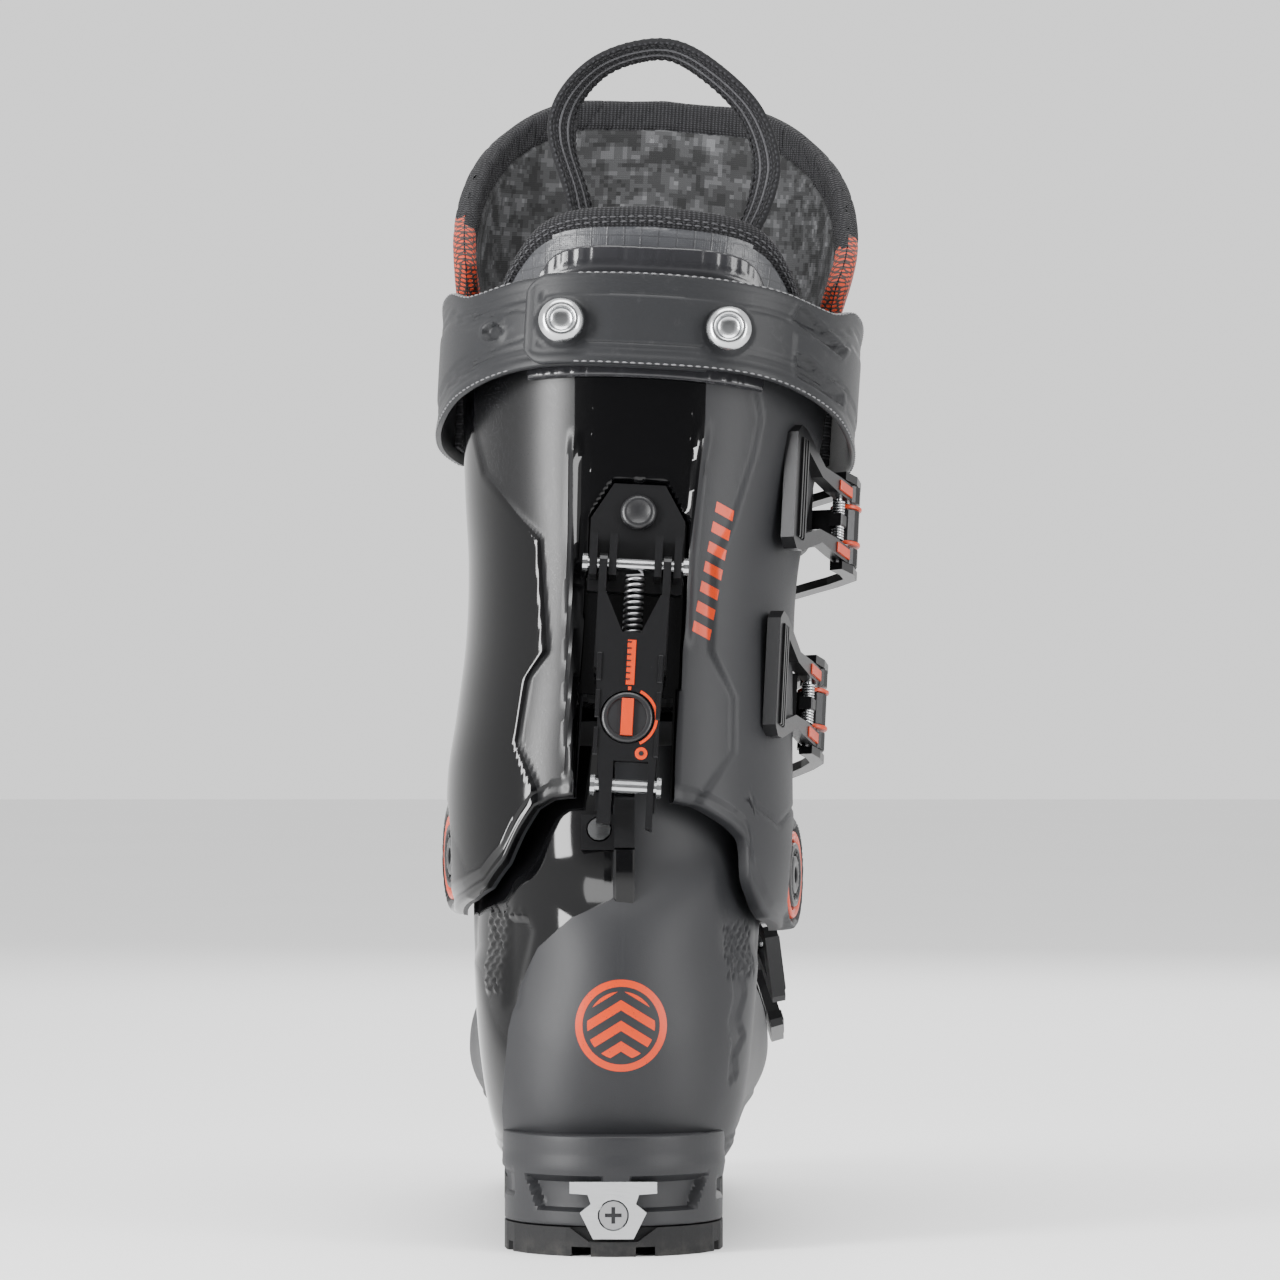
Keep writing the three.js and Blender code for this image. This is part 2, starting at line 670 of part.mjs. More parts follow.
// A rib whose back is an arc round the hinge axis, so that the cross pin rides along it.
function ribBody(x0, x1, fromDegrees, toDegrees, outside, inside) {
  const steps = 8;
  const angles = Array.from({ length: steps + 1 }, (_, i) => rad(lerp(fromDegrees, toDegrees, i / steps)));
  const arc = (r) => angles.map((a) => [-r * Math.cos(a), r * Math.sin(a)]);
  const profile = [...arc(outside), ...arc(inside).reverse()];
  return placed(plate(profile, x1 - x0), V(x0, ANKLE.y, ANKLE.z), V(0, 1, 0), V(0, 0, 1), V(1, 0, 0));
}

// ---------------------------------------------------------------- buckles
// One buckle across a tube. surface(degrees, inset) gives points of the tube's section, across is the pin's
// direction, and the angles say where the lever's tip, the pin and the ladder lie.
function buckle(name, surface, across, o) {
  const tip = surface(o.tip, -o.tipLift);
  const pin = surface(o.pin, -o.pinLift);
  const L = tip.distanceTo(pin);
  const x = tip.clone().sub(pin).normalize();
  const z = x.clone().cross(across).normalize();
  if (z.dot(pin.clone().sub(surface(o.pin, 0))) < 0) z.negate();
  const y = z.clone().cross(x);
  const put = (body) => placed(body, pin, x, y, z);
  const point = (lx, lz, ly = 0) =>
    pin.clone().addScaledVector(x, lx).addScaledVector(z, lz).addScaledVector(y, ly);
  const half = o.half; // half-width of the lever at its tip
  const legOut = o.legOut; // outer face of the lever's legs
  const legIn = legOut - 5.5;
  const frame = plate(
    mirrored([
      [-4.5, legOut],
      [L * 0.25, legOut],
      [L * 0.52, legOut - 0.6],
      [L * 0.84, half - 0.6],
      [L * 0.94, half],
      [L, half - 3],
    ]).map(([a, b]) => [a, b]),
    4.4,
    [mirrored([[L * 0.3, legIn], [L * 0.56, legIn + 1], [L * 0.8, half - 7]])],
  );
  const barrel = rod(V(0, -legOut, 0), V(0, legOut, 0), 4.6, 12);
  const slot = box(-8, L * 0.36, -legIn, legIn, -8, 8);
  const lever = put(
    cut(
      union(frame.translate([0, 0, -1.4]), barrel),
      slot,
      rod(V(0, -30, 0), V(0, 30, 0), 2.1, 12),
      rod(V(9, -30, 0.6), V(9, -legIn, 0.6), 1.6, 10),
      rod(V(9, legIn, 0.6), V(9, 30, 0.6), 1.6, 10),
    ),
  );
  const pinBody = put(rod(V(0, -legOut + 0.4, 0), V(0, legOut - 0.4, 0), 1.75, 12));
  const earHalf = legIn - 2.6;
  const ear = cut(
    union(
      put(box(-4.6, 4.6, -earHalf, earHalf, -26, 0)),
      put(rod(V(0, -earHalf, 0), V(0, earHalf, 0), 4.6, 12)),
      ribbon(
        [-10, -5, 0, 5, 10].map((d) => surface(o.pin + d * o.footStep, -GAP - 1)),
        y.clone(),
        -legIn,
        legIn,
        2,
      ),
    ),
    put(rod(V(0, -30, 0), V(0, 30, 0), 2.1, 12)),
    o.core,
  );
  // The bail: two arms outside the lever's legs, joined by the hook bar that sits behind a ladder tooth.
  const hook = surface(o.hook, -o.hookLift);
  const route = [point(9, 0.6), point(-4, 1.4), ...o.route.map(([deg, lift]) => surface(deg, -lift)), hook];
  const smooth = new THREE.CatmullRomCurve3(route, false, "centripetal").getPoints(11);
  const far = (o.farAcross ?? y).clone();
  if (far.dot(y) < 0) far.negate();
  const turning = smooth.map((_, i) => y.clone().lerp(far, THREE.MathUtils.smoothstep(i, 2, 9)).normalize());
  const arms = [-1, 1].map((k) => {
    const [a, b] = [k * (legOut + 0.5), k * (legOut + 3.3)].sort((p, q) => p - q);
    return ribbon(smooth, turning, a, b, 4.6);
  });
  const along = (p, w) => p.clone().addScaledVector(far, w);
  const bar = rod(along(hook, -legOut - 1), along(hook, legOut + 1), 2.2, 8);
  const studEnd = (y) => point(9, 0.6, y);
  const studs = [-1, 1].map((k) => rod(studEnd(k * (legOut + 1)), studEnd(k * (legIn + 1.2)), 1.2, 8));
  const bail = union(...arms, bar, ...studs);
  // The ladder: a curved plate with teeth that lean away from the lever.
  const [ladderFrom, ladderTo] = o.ladder;
  const steps = 8;
  const ladderWidth = legOut - 3.4;
  const rail = ribbon(
    Array.from({ length: steps + 1 }, (_, i) => surface(lerp(ladderFrom, ladderTo, i / steps), -GAP - 0.9)),
    far,
    -ladderWidth,
    ladderWidth,
    1.8,
  );
  const tooth = (degrees) => {
    const foot = surface(degrees, -1.2);
    const crest = surface(degrees + o.toothLean, -5);
    return ribbon([foot, crest], far, -ladderWidth + 1.5, ladderWidth - 1.5, 1.8);
  };
  const ladder = union(rail, ...o.teeth.map(tooth)).subtract(o.core);
  node(name + "_lever", lever.subtract(o.core), BLACK_METAL);
  node(name + "_lever_pin", pinBody, STEEL);
  node(name + "_buckle_base", ear, BLACK_METAL);
  node(name + "_bail", bail.subtract(o.core), BLACK_METAL);
  node(name + "_ladder", ladder, BLACK_METAL);
}

// ---------------------------------------------------------------- the shell and what it carries
const LOCK_DEGREES = [7, 26]; // where the lock block lies on the rib's arc, above the hinge's level
const ribX = [0.2, 6.6];

const heelLug = soleSlab(PAD + GAP, HEEL_LUG).intersect(box(-EDGE, EDGE, -EDGE, HEEL_LUG_FRONT, 0, EDGE));
const toeLug = soleSlab(PAD + GAP, TOE_LUG).intersect(box(-EDGE, EDGE, TOE_LUG_BACK, EDGE, 0, EDGE));
const rib = ribBody(ribX[0], ribX[1], -18, LOCK_DEGREES[0] - 0.6, RIB_RADIUS, 50);
const shellBody = cut(
  union(loft(shellRings(0, SHELL_END, 0)), soleSlab(PAD + GAP, 21), heelLug, toeLug, rib),
  shellCavity(0.75, WALL),
  window,
  innerPivot.hole,
  outerPivot.hole,
  rod(V(-40, TOE_PIN_Y, TOE_PIN_Z), V(40, TOE_PIN_Y, TOE_PIN_Z), 4.7, 16),
);
// The instep flap: the outer flap of the shell laps over the inner one, as a raised panel.
const FLAP_RAISED = 2.6;
function instepFlap(places, from, to, clearance = 0) {
  const grid = (inset) =>
    places.map((p) => Array.from({ length: 9 }, (_, i) => shellPoint(p, lerp(from, to, i / 8), inset)));
  return sheet(grid(-FLAP_RAISED - clearance), grid(1.5));
}
node("lower_shell", shellBody.add(instepFlap([4.3, 5, 6, 7, 8, 8.8], 40, 118)), MATTE);

const lockBlock = cut(
  union(
    ribBody(ribX[0], ribX[1], LOCK_DEGREES[0], LOCK_DEGREES[1], RIB_RADIUS, 50),
    ribBody(ribX[0] - 10.5, ribX[1], LOCK_DEGREES[0], 19, 54.8, 50),
  ),
  loft(shellRings(9, SHELL_END, -GAP)),
);
const lockScrewAim = V(0, -Math.cos(rad(14)), Math.sin(rad(14)));
const lockScrewAt = (radius) => V(-4.6, ANKLE.y, ANKLE.z).addScaledVector(lockScrewAim, radius);
node("lock_block", cut(lockBlock, rod(lockScrewAt(50), lockScrewAt(60), 4.1, 16)), BLACK_METAL);
node("lock_block_screw", rod(lockScrewAt(53.8), lockScrewAt(55), 3.6, 16), STEEL);

// Countersunk screws hold the rubber pads up against the shell.
const SOLE_SCREWS = {
  heel_left: [-15, 12],
  heel_right: [15, 12],
  toe_left: [-17, 190],
  toe_right: [17, 190],
};
const screwWells = Object.values(SOLE_SCREWS).map(([x, y]) => rod(V(x, y, -1), V(x, y, 4.6), 4.6, 16));
node("heel_sole_pad", cut(heelPad(), ...screwWells), RUBBER);
node("toe_sole_pad", cut(toePad(), ...screwWells), RUBBER);
for (const [place, [x, y]] of Object.entries(SOLE_SCREWS)) {
  const head = rod(V(x, y, 1.8), V(x, y, 4.3), 4, 16);
  node(place + "_sole_screw", cut(head, box(x - 2.6, x + 2.6, y - 0.6, y + 0.6, 0, 2.8)), STEEL);
}
node("heel_insert", heelInsert(), STEEL);
node("heel_insert_screw", heelInsertScrew(), STEEL);
node("toe_insert", toeInsert(), STEEL);
node("inner_pivot_bolt", innerPivot.bolt, STEEL);
node("outer_pivot_bolt", outerPivot.bolt, STEEL);

// ---------------------------------------------------------------- inside the shell
const BOARD = FLOOR - GAP;
const board = loft(shellRings(1.4, 12, WALL + GAP)).intersect(box(-EDGE, EDGE, -30, 236, 0, BOARD));
node("boot_board", board, MATTE);

const linerInset = WALL + 1;
const above = (z) => box(-EDGE, EDGE, -EDGE, EDGE, z, EDGE);
const linerFoot = cut(
  loft(shellRings(0.9, SHELL_END, linerInset)).intersect(above(FLOOR)),
  shellCavity(1.6, linerInset + LINER).intersect(above(FLOOR + LINER)),
);
node("liner_foot", linerFoot, FOAM);

const footbed = loft(shellRings(2, 12, linerInset + LINER + GAP)).intersect(
  box(-EDGE, EDGE, -25, 228, FLOOR + LINER + GAP, FLOOR + LINER + GAP + 4),
);
node("footbed", footbed, FOAM);

// ---------------------------------------------------------------- the cuff and what it carries
const cuffCore = legCore(cuffPoint, -40, 200, -0.6);
const cuffInside = legCore((d, h) => legPoint(CUFF_SECTIONS, d, h, WALL), -60, 230);
const cuffSheet = legSheet(
  cuffPoint,
  INNER_FLAP_END,
  OUTER_FLAP_END,
  (d) => CUFF_LOW(Math.abs(d))[0],
  (d) => CUFF_HIGH(Math.abs(d))[0],
  0,
  WALL,
  42,
  8,
);
const channel = legPlate(CHANNEL, FLOOR_Y, 30);
const ribSlot = legBox(BACK_X - 2.4, BACK_X + 8.6, -80, -40, -10, 37);
const cuffBody = cut(
  cuffSheet.add(cut(union(innerPivot.boss, outerPivot.boss), cuffInside)),
  innerPivot.recess,
  outerPivot.recess,
  innerPivot.hole,
  outerPivot.hole,
  channel,
  ribSlot,
);
node("cuff_shell", cuffBody, GLOSS);

node("inner_pivot_cap", innerPivot.cap, BLACK_METAL);
node("inner_pivot_ring", innerPivot.ring, ORANGE);
node("outer_pivot_cap", outerPivot.cap, BLACK_METAL);
node("outer_pivot_ring", outerPivot.ring, ORANGE);

node("walk_bracket", walkBracket(), BLACK_METAL);
node("walk_hinge_pin", walkPin(), STEEL);
node("walk_bracket_screw", walkScrew(), BLACK_METAL);
node("walk_lever", walkLever(), BLACK_METAL);
node("walk_cross_pin", crossPin(), STEEL);
node("walk_lock_knob", walkKnob(), BLACK_METAL);
node("walk_spring", walkSpring(), STEEL);

// ---------------------------------------------------------------- spoiler, strap and rivets
const at = (value) => () => value;
const SPOILER_TOP = spline([[-35, 168], [-30, 181], [-22, 187], [0, 188], [23, 187.5], [31, 182], [36, 168]]);
const onCuff = (d, h, inset) => legPoint(CUFF_SECTIONS, d, h, inset);
node(
  "rear_spoiler",
  legSheet(onCuff, -35, 36, at(146), (d) => SPOILER_TOP(d)[0], -GAP - 2.2, -GAP, 16, 4),
  MATTE,
);

const onStrap = (d, h, inset) => legPoint(STRAP_SECTIONS, d, h, inset);
const BAND_LOW = spline([[0, 147], [30, 147], [60, 143], [80, 139], [118, 139]]);
const BAND_HIGH = spline([[0, 177.5], [30, 177], [55, 175.5], [72, 181], [118, 182]]);
const bandLow = (d) => BAND_LOW(Math.abs(d))[0];
const bandHigh = (d) => BAND_HIGH(Math.abs(d))[0];
const BAND = 2.3; // thickness of the rubber bands

const RIVET_H = 160;
const rivetPoint = (x, depth) => leg(x, -STRAP_SECTIONS(RIVET_H)[2] + depth, RIVET_H);
const rivetHole = (x) => rod(rivetPoint(x, 5), rivetPoint(x, -8), 3.3, 12);
const rivetSeat = (x) => rod(rivetPoint(x, -2.2 + GAP), rivetPoint(x, -9), 7.6, 20);
const RIVETS = [-27, 26.2];

const innerBand = cut(
  legSheet(onStrap, -118, 14, bandLow, bandHigh, BAND + 0.4, 2 * BAND + 0.4, 28, 3),
  ...RIVETS.map(rivetHole),
);
const outerBand = cut(
  legSheet(onStrap, -30, 118, bandLow, bandHigh, 0, BAND, 32, 3),
  ...RIVETS.map(rivetHole),
  ...RIVETS.map(rivetSeat),
);
node("strap_band_inner", innerBand, RUBBER);
node("strap_band_outer", outerBand, RUBBER);
const rivet = (x) => rod(rivetPoint(x, -1.4), rivetPoint(x, -4.4), 6.9, 20, 4.8);
node("strap_rivet_inner", rivet(RIVETS[0]), STEEL);
node("strap_rivet_outer", rivet(RIVETS[1]), STEEL);

const WEB_LOW = 142;
const WEB_HIGH = 182;
node(
  "power_strap",
  legSheet(onStrap, 106, 254, at(WEB_LOW), at(WEB_HIGH), 2 * BAND + 1, 2 * BAND + 3.6, 24, 2),
  WEBBING,
);

// ---------------------------------------------------------------- the liner's upper half, tongue and loop
const LINER_TOP = spline([[0, 205], [35, 201], [60, 184], [80, 167], [125, 148]]);
const LINER_LOW = spline([[0, 56], [60, 66], [90, 73], [125, 67]]);
node(
  "liner_cuff",
  legSheet(
    (d, h, inset) => legPoint(LINER_SECTIONS, d, h, inset),
    -122,
    122,
    (d) => LINER_LOW(Math.abs(d))[0],
    (d) => LINER_TOP(Math.abs(d))[0],
    0.3,
    8,
    26,
    5,
  ),
  FOAM,
);

const TONGUE_LOW = 62;
const TONGUE_TOP = spline([[0, 279.5], [0.3, 274], [0.6, 251], [0.85, 220], [1, 196]]);
const TONGUE_REACH = spline([[60, 44], [150, 47], [168, 52], [186, 88], [200, 98], [290, 100]]);
function tongue() {
  const columns = 20;
  const rows = 9;
  const grid = (inset) =>
    Array.from({ length: columns + 1 }, (_, i) => {
      const s = (2 * i) / columns - 1;
      return Array.from({ length: rows + 1 }, (_, j) => {
        const h = lerp(TONGUE_LOW, TONGUE_TOP(Math.abs(s))[0], j / rows);
        return legPoint(TONGUE_SECTIONS, 180 + s * TONGUE_REACH(h)[0], h, inset);
      });
    });
  return sheet(grid(0), grid(7.5));
}
node("tongue", tongue(), FOAM);

// The loop is flat webbing: it arches over the heel collar, edge-on at its crown, turned back at its feet.
const LOOP_CENTRE_H = 226;
const LOOP_ROUTE = [
  [-20, 193],
  [-25, 213],
  [-31, 231],
  [-30, 245],
  [-21.5, 257],
  [-9, 263.5],
  [4, 264.5],
  [17.5, 257],
  [29.5, 245],
  [35.5, 229],
  [33.5, 212],
  [25, 193],
].map(([x, h]) => leg(x, -36, h));

function pullLoop() {
  const steps = 22;
  const curve = new THREE.CatmullRomCurve3(LOOP_ROUTE);
  const centre = leg(0, -36, LOOP_CENTRE_H);
  const face = (offset) =>
    Array.from({ length: steps + 1 }, (_, i) => {
      const p = curve.getPointAt(i / steps);
      const along = curve.getTangentAt(i / steps);
      const outward = along.clone().cross(fore);
      if (outward.dot(p.clone().sub(centre)) < 0) outward.negate();
      const twist = rad(lerp(28, 72, Math.abs(along.dot(side))));
      const width = outward.multiplyScalar(Math.cos(twist)).addScaledVector(back, Math.sin(twist));
      const normal = along.cross(width).normalize().multiplyScalar(offset);
      return [-5.2, 5.2].map((w) => p.clone().add(normal).addScaledVector(width, w));
    });
  return sheet(face(1.2), face(-1.2));
}
node("pull_loop", pullLoop(), WEBBING);

// ---------------------------------------------------------------- the four buckles
const shellCore = loft(shellRings(0, SHELL_END, -GAP)).add(instepFlap([4.2, 5, 6, 7, 8, 8.9], 38, 120, GAP));
// Past the end of the outer flap the surface is that of the inner flap under it.
const cuffAt = (h) => (degrees, inset) =>
  cuffPoint(degrees > OUTER_FLAP_END ? degrees - 360 : degrees, h, inset);
const flapOver = (degrees, inset) => (degrees > 39 && degrees < 119 ? inset - FLAP_RAISED : inset);
// A buckle's line over the shell: rows of an angle and the section it has reached there.
const shellAlong = (rows) => {
  const line = spline(rows);
  return (degrees, inset) => shellPoint(line(degrees)[0], degrees, flapOver(degrees, inset));
};
const shellAcross = (place) => {
  const [a, b] = [shellPoint(place, 270, 0), shellPoint(place, 90, 0)];
  return b.sub(a).normalize().cross(V(1, 0, 0)).normalize();
};

const CUFF_BUCKLE = {
  hookLift: 5.4,
  tipLift: 4,
  half: 20.5,
  legOut: 13.2,
  footStep: 1.2,
  toothLean: 2.5,
  core: cuffCore,
};
buckle("upper", cuffAt(119), up, {
  ...CUFF_BUCKLE,
  tip: 52,
  pin: 97,
  pinLift: 14,
  hook: 208.6,
  ladder: [196, 229],
  teeth: [201, 212, 220.5],
  route: [[116, 11.5], [138, 8.5], [165, 6.5], [187, 5.5]],
});
buckle("lower", cuffAt(57), up, {
  ...CUFF_BUCKLE,
  tip: 50,
  pin: 97,
  pinLift: 8.2,
  hook: 208.6,
  ladder: [196, 229],
  teeth: [201, 212, 220.5],
  route: [[114, 9], [138, 7.5], [165, 6.5], [187, 5.5]],
});
buckle("instep", shellAlong([[0, 9.4], [29, 8.05], [60, 7.35], [90, 6.9], [160, 6.7]]), shellAcross(8.8), {
  ...CUFF_BUCKLE,
  farAcross: shellAcross(6.8),
  tip: 8,
  pin: 29,
  tipLift: 11,
  pinLift: 8.5,
  half: 14,
  legOut: 10,
  hook: 132.8,
  hookLift: 6.4,
  ladder: [120, 155],
  teeth: [123, 135.5, 145],
  core: shellCore,
  route: [[46, 10.5], [64, 10], [84, 9], [105, 7.5]],
});
buckle("toe", shellAlong([[0, 5.1], [90, 4.9], [160, 4.9]]), shellAcross(4.9), {
  ...CUFF_BUCKLE,
  farAcross: shellAcross(4.9),
  tip: 4,
  pin: 46,
  pinLift: 9,
  half: 14,
  legOut: 10,
  hook: 130,
  hookLift: 6,
  ladder: [120, 154],
  teeth: [123, 133.5, 143],
  core: shellCore,
  route: [[66, 9], [86, 8.5], [106, 7.5]],
});

export default boot;
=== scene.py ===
"""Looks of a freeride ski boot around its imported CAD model. Shapes are worked out in millimetres, in the
model's own frame: +X the outer side, +Y the toe, +Z up. Meshes are handed to Blender in metres."""

import math

import bmesh
import bpy
import numpy as np
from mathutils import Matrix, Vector


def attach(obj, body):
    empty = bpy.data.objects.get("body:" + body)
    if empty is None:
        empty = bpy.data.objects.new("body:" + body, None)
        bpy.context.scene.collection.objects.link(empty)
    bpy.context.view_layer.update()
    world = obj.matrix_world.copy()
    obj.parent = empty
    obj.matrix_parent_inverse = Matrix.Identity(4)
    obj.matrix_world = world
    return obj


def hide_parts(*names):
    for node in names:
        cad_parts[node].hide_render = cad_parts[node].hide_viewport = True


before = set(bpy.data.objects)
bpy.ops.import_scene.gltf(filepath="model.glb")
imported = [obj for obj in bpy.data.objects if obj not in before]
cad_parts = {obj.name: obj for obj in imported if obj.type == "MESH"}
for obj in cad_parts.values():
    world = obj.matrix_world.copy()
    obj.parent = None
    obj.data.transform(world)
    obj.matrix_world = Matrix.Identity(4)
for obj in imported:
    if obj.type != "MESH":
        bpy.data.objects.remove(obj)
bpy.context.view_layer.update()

MM = 0.001
CELL = 1.05  # spacing of the dense surface grids

# ------------------------------------------------------------------ the boot's form, as the CAD has it
ANKLE = np.array([2.0, 35.0, 119.0])
LEAN = math.radians(13)


def unit(v):
    v = np.asarray(v, float)
    return v / np.linalg.norm(v, axis=-1, keepdims=True)


UP = unit([0.052, math.sin(LEAN), math.cos(LEAN)])
SIDE = unit(np.array([1, 0, 0]) - UP * UP[0])
FORE = np.cross(UP, SIDE)
BACK = -FORE


def spline(rows):
    """A smooth curve through rows [place, value, ...], as a function from places to values."""
    table = np.array(rows, float)
    places, values = table[:, 0], table[:, 1:]
    last = len(places) - 1

    def at(x):
        x = np.asarray(x, float)
        i = np.clip(np.searchsorted(places, x, side="right") - 1, 0, last - 1)
        before, after = np.maximum(i - 1, 0), np.minimum(i + 2, last)
        span = places[i + 1] - places[i]
        f = np.clip((x - places[i]) / span, 0, 1)[..., None]
        a, b = values[i], values[i + 1]
        slope_a = (b - values[before]) * (span / (places[i + 1] - places[before]))[..., None]
        slope_b = (values[after] - a) * (span / (places[after] - places[i]))[..., None]
        return (
            a * (2 * f**3 - 3 * f**2 + 1)
            + slope_a * (f**3 - 2 * f**2 + f)
            + b * (3 * f**2 - 2 * f**3)
            + slope_b * (f**3 - f**2)
        )

    return at


def level(rows):
    """A spline of one value."""
    curve = spline(rows)
    return lambda x: curve(x)[..., 0]


def smoothstep(low, high, x):
    f = np.clip((np.asarray(x, float) - low) / (high - low), 0, 1)
    return f * f * (3 - 2 * f)


def power(v, e):
    return np.sign(v) * np.abs(v) ** e


def leg(x, y, h):
    """A point in the leg's frame: sideways, forwards and up from the ankle."""
    x, y, h = np.broadcast_arrays(*(np.asarray(v, float) for v in (x, y, h)))
    return ANKLE + x[..., None] * SIDE + y[..., None] * FORE + h[..., None] * UP


def in_leg(points):
    away = points - ANKLE
    return away @ SIDE, away @ FORE, away @ UP


# Rows: place, back y, back z, front y, front z, inner, outer, roundness at the back, roundness at the front.
SHELL = spline([
    [0, 254, 30, 254, 46, 13, 12, 2, 2],
    [1, 250, 24, 251, 55, 25, 24, 2.1, 2.2],
    [2, 241, 19, 244, 64, 34, 33, 2.1, 2.3],
    [3, 224, 18, 230, 71, 42, 41, 2.1, 2.4],
    [4, 200, 18, 208, 78, 48, 47.5, 2, 2.5],
    [5, 170, 18, 184, 85, 49.5, 51, 2, 2.4],
    [6, 140, 18, 160, 94, 46.5, 50.5, 2.1, 2.3],
    [7, 106, 18, 135, 105, 44, 47, 2.5, 2.2],
    [8, 66, 18, 112, 117, 42, 43.5, 3.2, 2.2],
    [9, 26, 18, 100, 129, 41, 41.5, 3.8, 2.2],
    [10, -14, 20, 95.5, 139, 42.5, 43.5, 3.4, 2.2],
    [11, -33, 33, 92.5, 146, 44.5, 45.5, 2.7, 2.2],
    [12, -38.5, 60, 90.5, 152, 45.2, 47, 2.25, 2.2],
    [13, -37, 84, 89.5, 156, 44, 46.8, 1.9, 2.2],
    [14, -31, 104, 88.5, 159, 43, 46.6, 1.9, 2.2],
    [15, -20.5, 121, 88, 161, 42.8, 47, 1.95, 2.2],
    [16, -13.5, 141, 87.5, 163, 42, 47, 2, 2.2],
    [17, -5, 158, 87, 165, 41.5, 47, 2, 2.2],
])
SHELL_END = 17
WALL = 5
FLAP_PLACES = (4.3, 8.8)
FLAP_DEGREES = (40, 118)
FLAP_RAISED = 2.6

# Rows: height, half-width inside, half-width outside, depth behind, depth in front.
CUFF = spline([
    [-30, 51, 51.5, 59, 66],
    [0, 55, 55, 61, 68],
    [25, 56.3, 53.5, 60.7, 68],
    [45, 54.6, 52.5, 60, 66],
    [70, 53, 51.5, 58.4, 59],
    [95, 53.6, 51.5, 58, 56],
    [118, 56, 54, 59.6, 55],
    [135, 57.5, 56.5, 61.5, 54.5],
    [175, 60, 60.5, 66, 55],
    [215, 60, 61, 68, 58],
])
STRAP = spline([[120, 70, 69, 75, 68], [160, 70.5, 69.5, 75.4, 68], [200, 70.5, 70.5, 76, 68]])
LINER = spline([
    [50, 46, 46, 52, 52],
    [95, 46.5, 45.5, 51.7, 49.5],
    [130, 50, 48.5, 54.6, 48],
    [165, 53, 53, 58.8, 48],
    [185, 56, 57, 60, 50],
    [210, 58, 60, 61, 52],
])
TONGUE = spline([
    [55, 44, 44, 50, 50],
    [95, 45, 44.5, 50, 49],
    [148, 49, 48, 50, 48.5],
    [168, 58, 57, 50, 52],
    [185, 63.5, 62, 50, 57],
    [210, 66.5, 67.5, 50, 62],
    [280, 68, 68.5, 50, 68],
])
CUFF_POWER = 2.35
FLAP_LIFT = 5.8
OUTER_FLAP_END = 190
INNER_FLAP_END = -208
CUFF_HIGH = level([[0, 171], [40, 168], [90, 154], [140, 139], [215, 137]])
BAND_LOW = level([[0, 147], [30, 147], [60, 143], [80, 139], [118, 139]])
BAND_HIGH = level([[0, 177.5], [30, 177], [55, 175.5], [72, 181], [118, 182]])
BAND = 2.3
SPOILER_TOP = level([[-35, 168], [-30, 181], [-22, 187], [0, 188], [23, 187.5], [31, 182], [36, 168]])
LINER_TOP = level([[0, 205], [35, 201], [60, 184], [80, 167], [125, 148]])
LINER_LOW = level([[0, 56], [60, 66], [90, 73], [125, 67]])
TONGUE_LOW = 62
TONGUE_TOP = level([[0, 279.5], [0.3, 274], [0.6, 251], [0.85, 220], [1, 196]])
TONGUE_REACH = level([[60, 44], [150, 47], [168, 52], [186, 88], [200, 98], [290, 100]])

BACK_X = 0.5
FLOOR_Y = -55.2
CROSS_Y = -67
KNOB_H = 34
CHANNEL = [
    (BACK_X - 15.5, -8), (BACK_X + 15.5, -8), (BACK_X + 15.5, 101),
    (BACK_X + 8.5, 113), (BACK_X - 8.5, 113), (BACK_X - 15.5, 101),
]
WINDOW_TOP = 44  # below this the channel opens right through the cuff
RIB_X = (0.2, 6.6)
RIB_RADIUS = 63.4


def tube_point(sections, degrees, h, inset):
    """A point of a tube round the leg: 0 degrees at the back, 90 at the outer side, 180 in front."""
    degrees, h, inset = np.broadcast_arrays(*(np.asarray(v, float) for v in (degrees, h, inset)))
    inner, outer, behind, front = np.moveaxis(sections(h), -1, 0)
    s, c = np.sin(np.radians(degrees)), np.cos(np.radians(degrees))
    e = 2 / CUFF_POWER
    x = power(s, e) * (np.where(s < 0, inner, outer) - inset)
    y = -power(c, e) * (np.where(c < 0, front, behind) - inset)
    return leg(x, y, h)


def cuff_point(degrees, h, inset):
    return tube_point(CUFF, degrees, h, inset - FLAP_LIFT * smoothstep(128, 148, degrees))


def shell_point(place, degrees, inset):
    place, degrees, inset = np.broadcast_arrays(*(np.asarray(v, float) for v in (place, degrees, inset)))
    by, bz, fy, fz, inner, outer, back_power, front_power = np.moveaxis(SHELL(place), -1, 0)
    length = np.hypot(fy - by, fz - bz)
    c, s = np.cos(np.radians(degrees)), np.sin(np.radians(degrees))
    e = 2 / np.where(s < 0, back_power, front_power)
    x = power(c, e) * (np.where(c < 0, inner, outer) - inset)
    along = length / 2 + power(s, e) * (length / 2 - inset)
    return np.stack([x, by + (fy - by) / length * along, bz + (fz - bz) / length * along], -1)


# ------------------------------------------------------------------ meshes
def quads(rows, columns, wrap=False, first=0):
    i, j = np.meshgrid(np.arange(rows - 1), np.arange(columns if wrap else columns - 1), indexing="ij")
    k = (j + 1) % columns
    a = first + i * columns
    b = first + (i + 1) * columns
    return np.stack([a + j, a + k, b + k, b + j], -1).reshape(-1, 4)


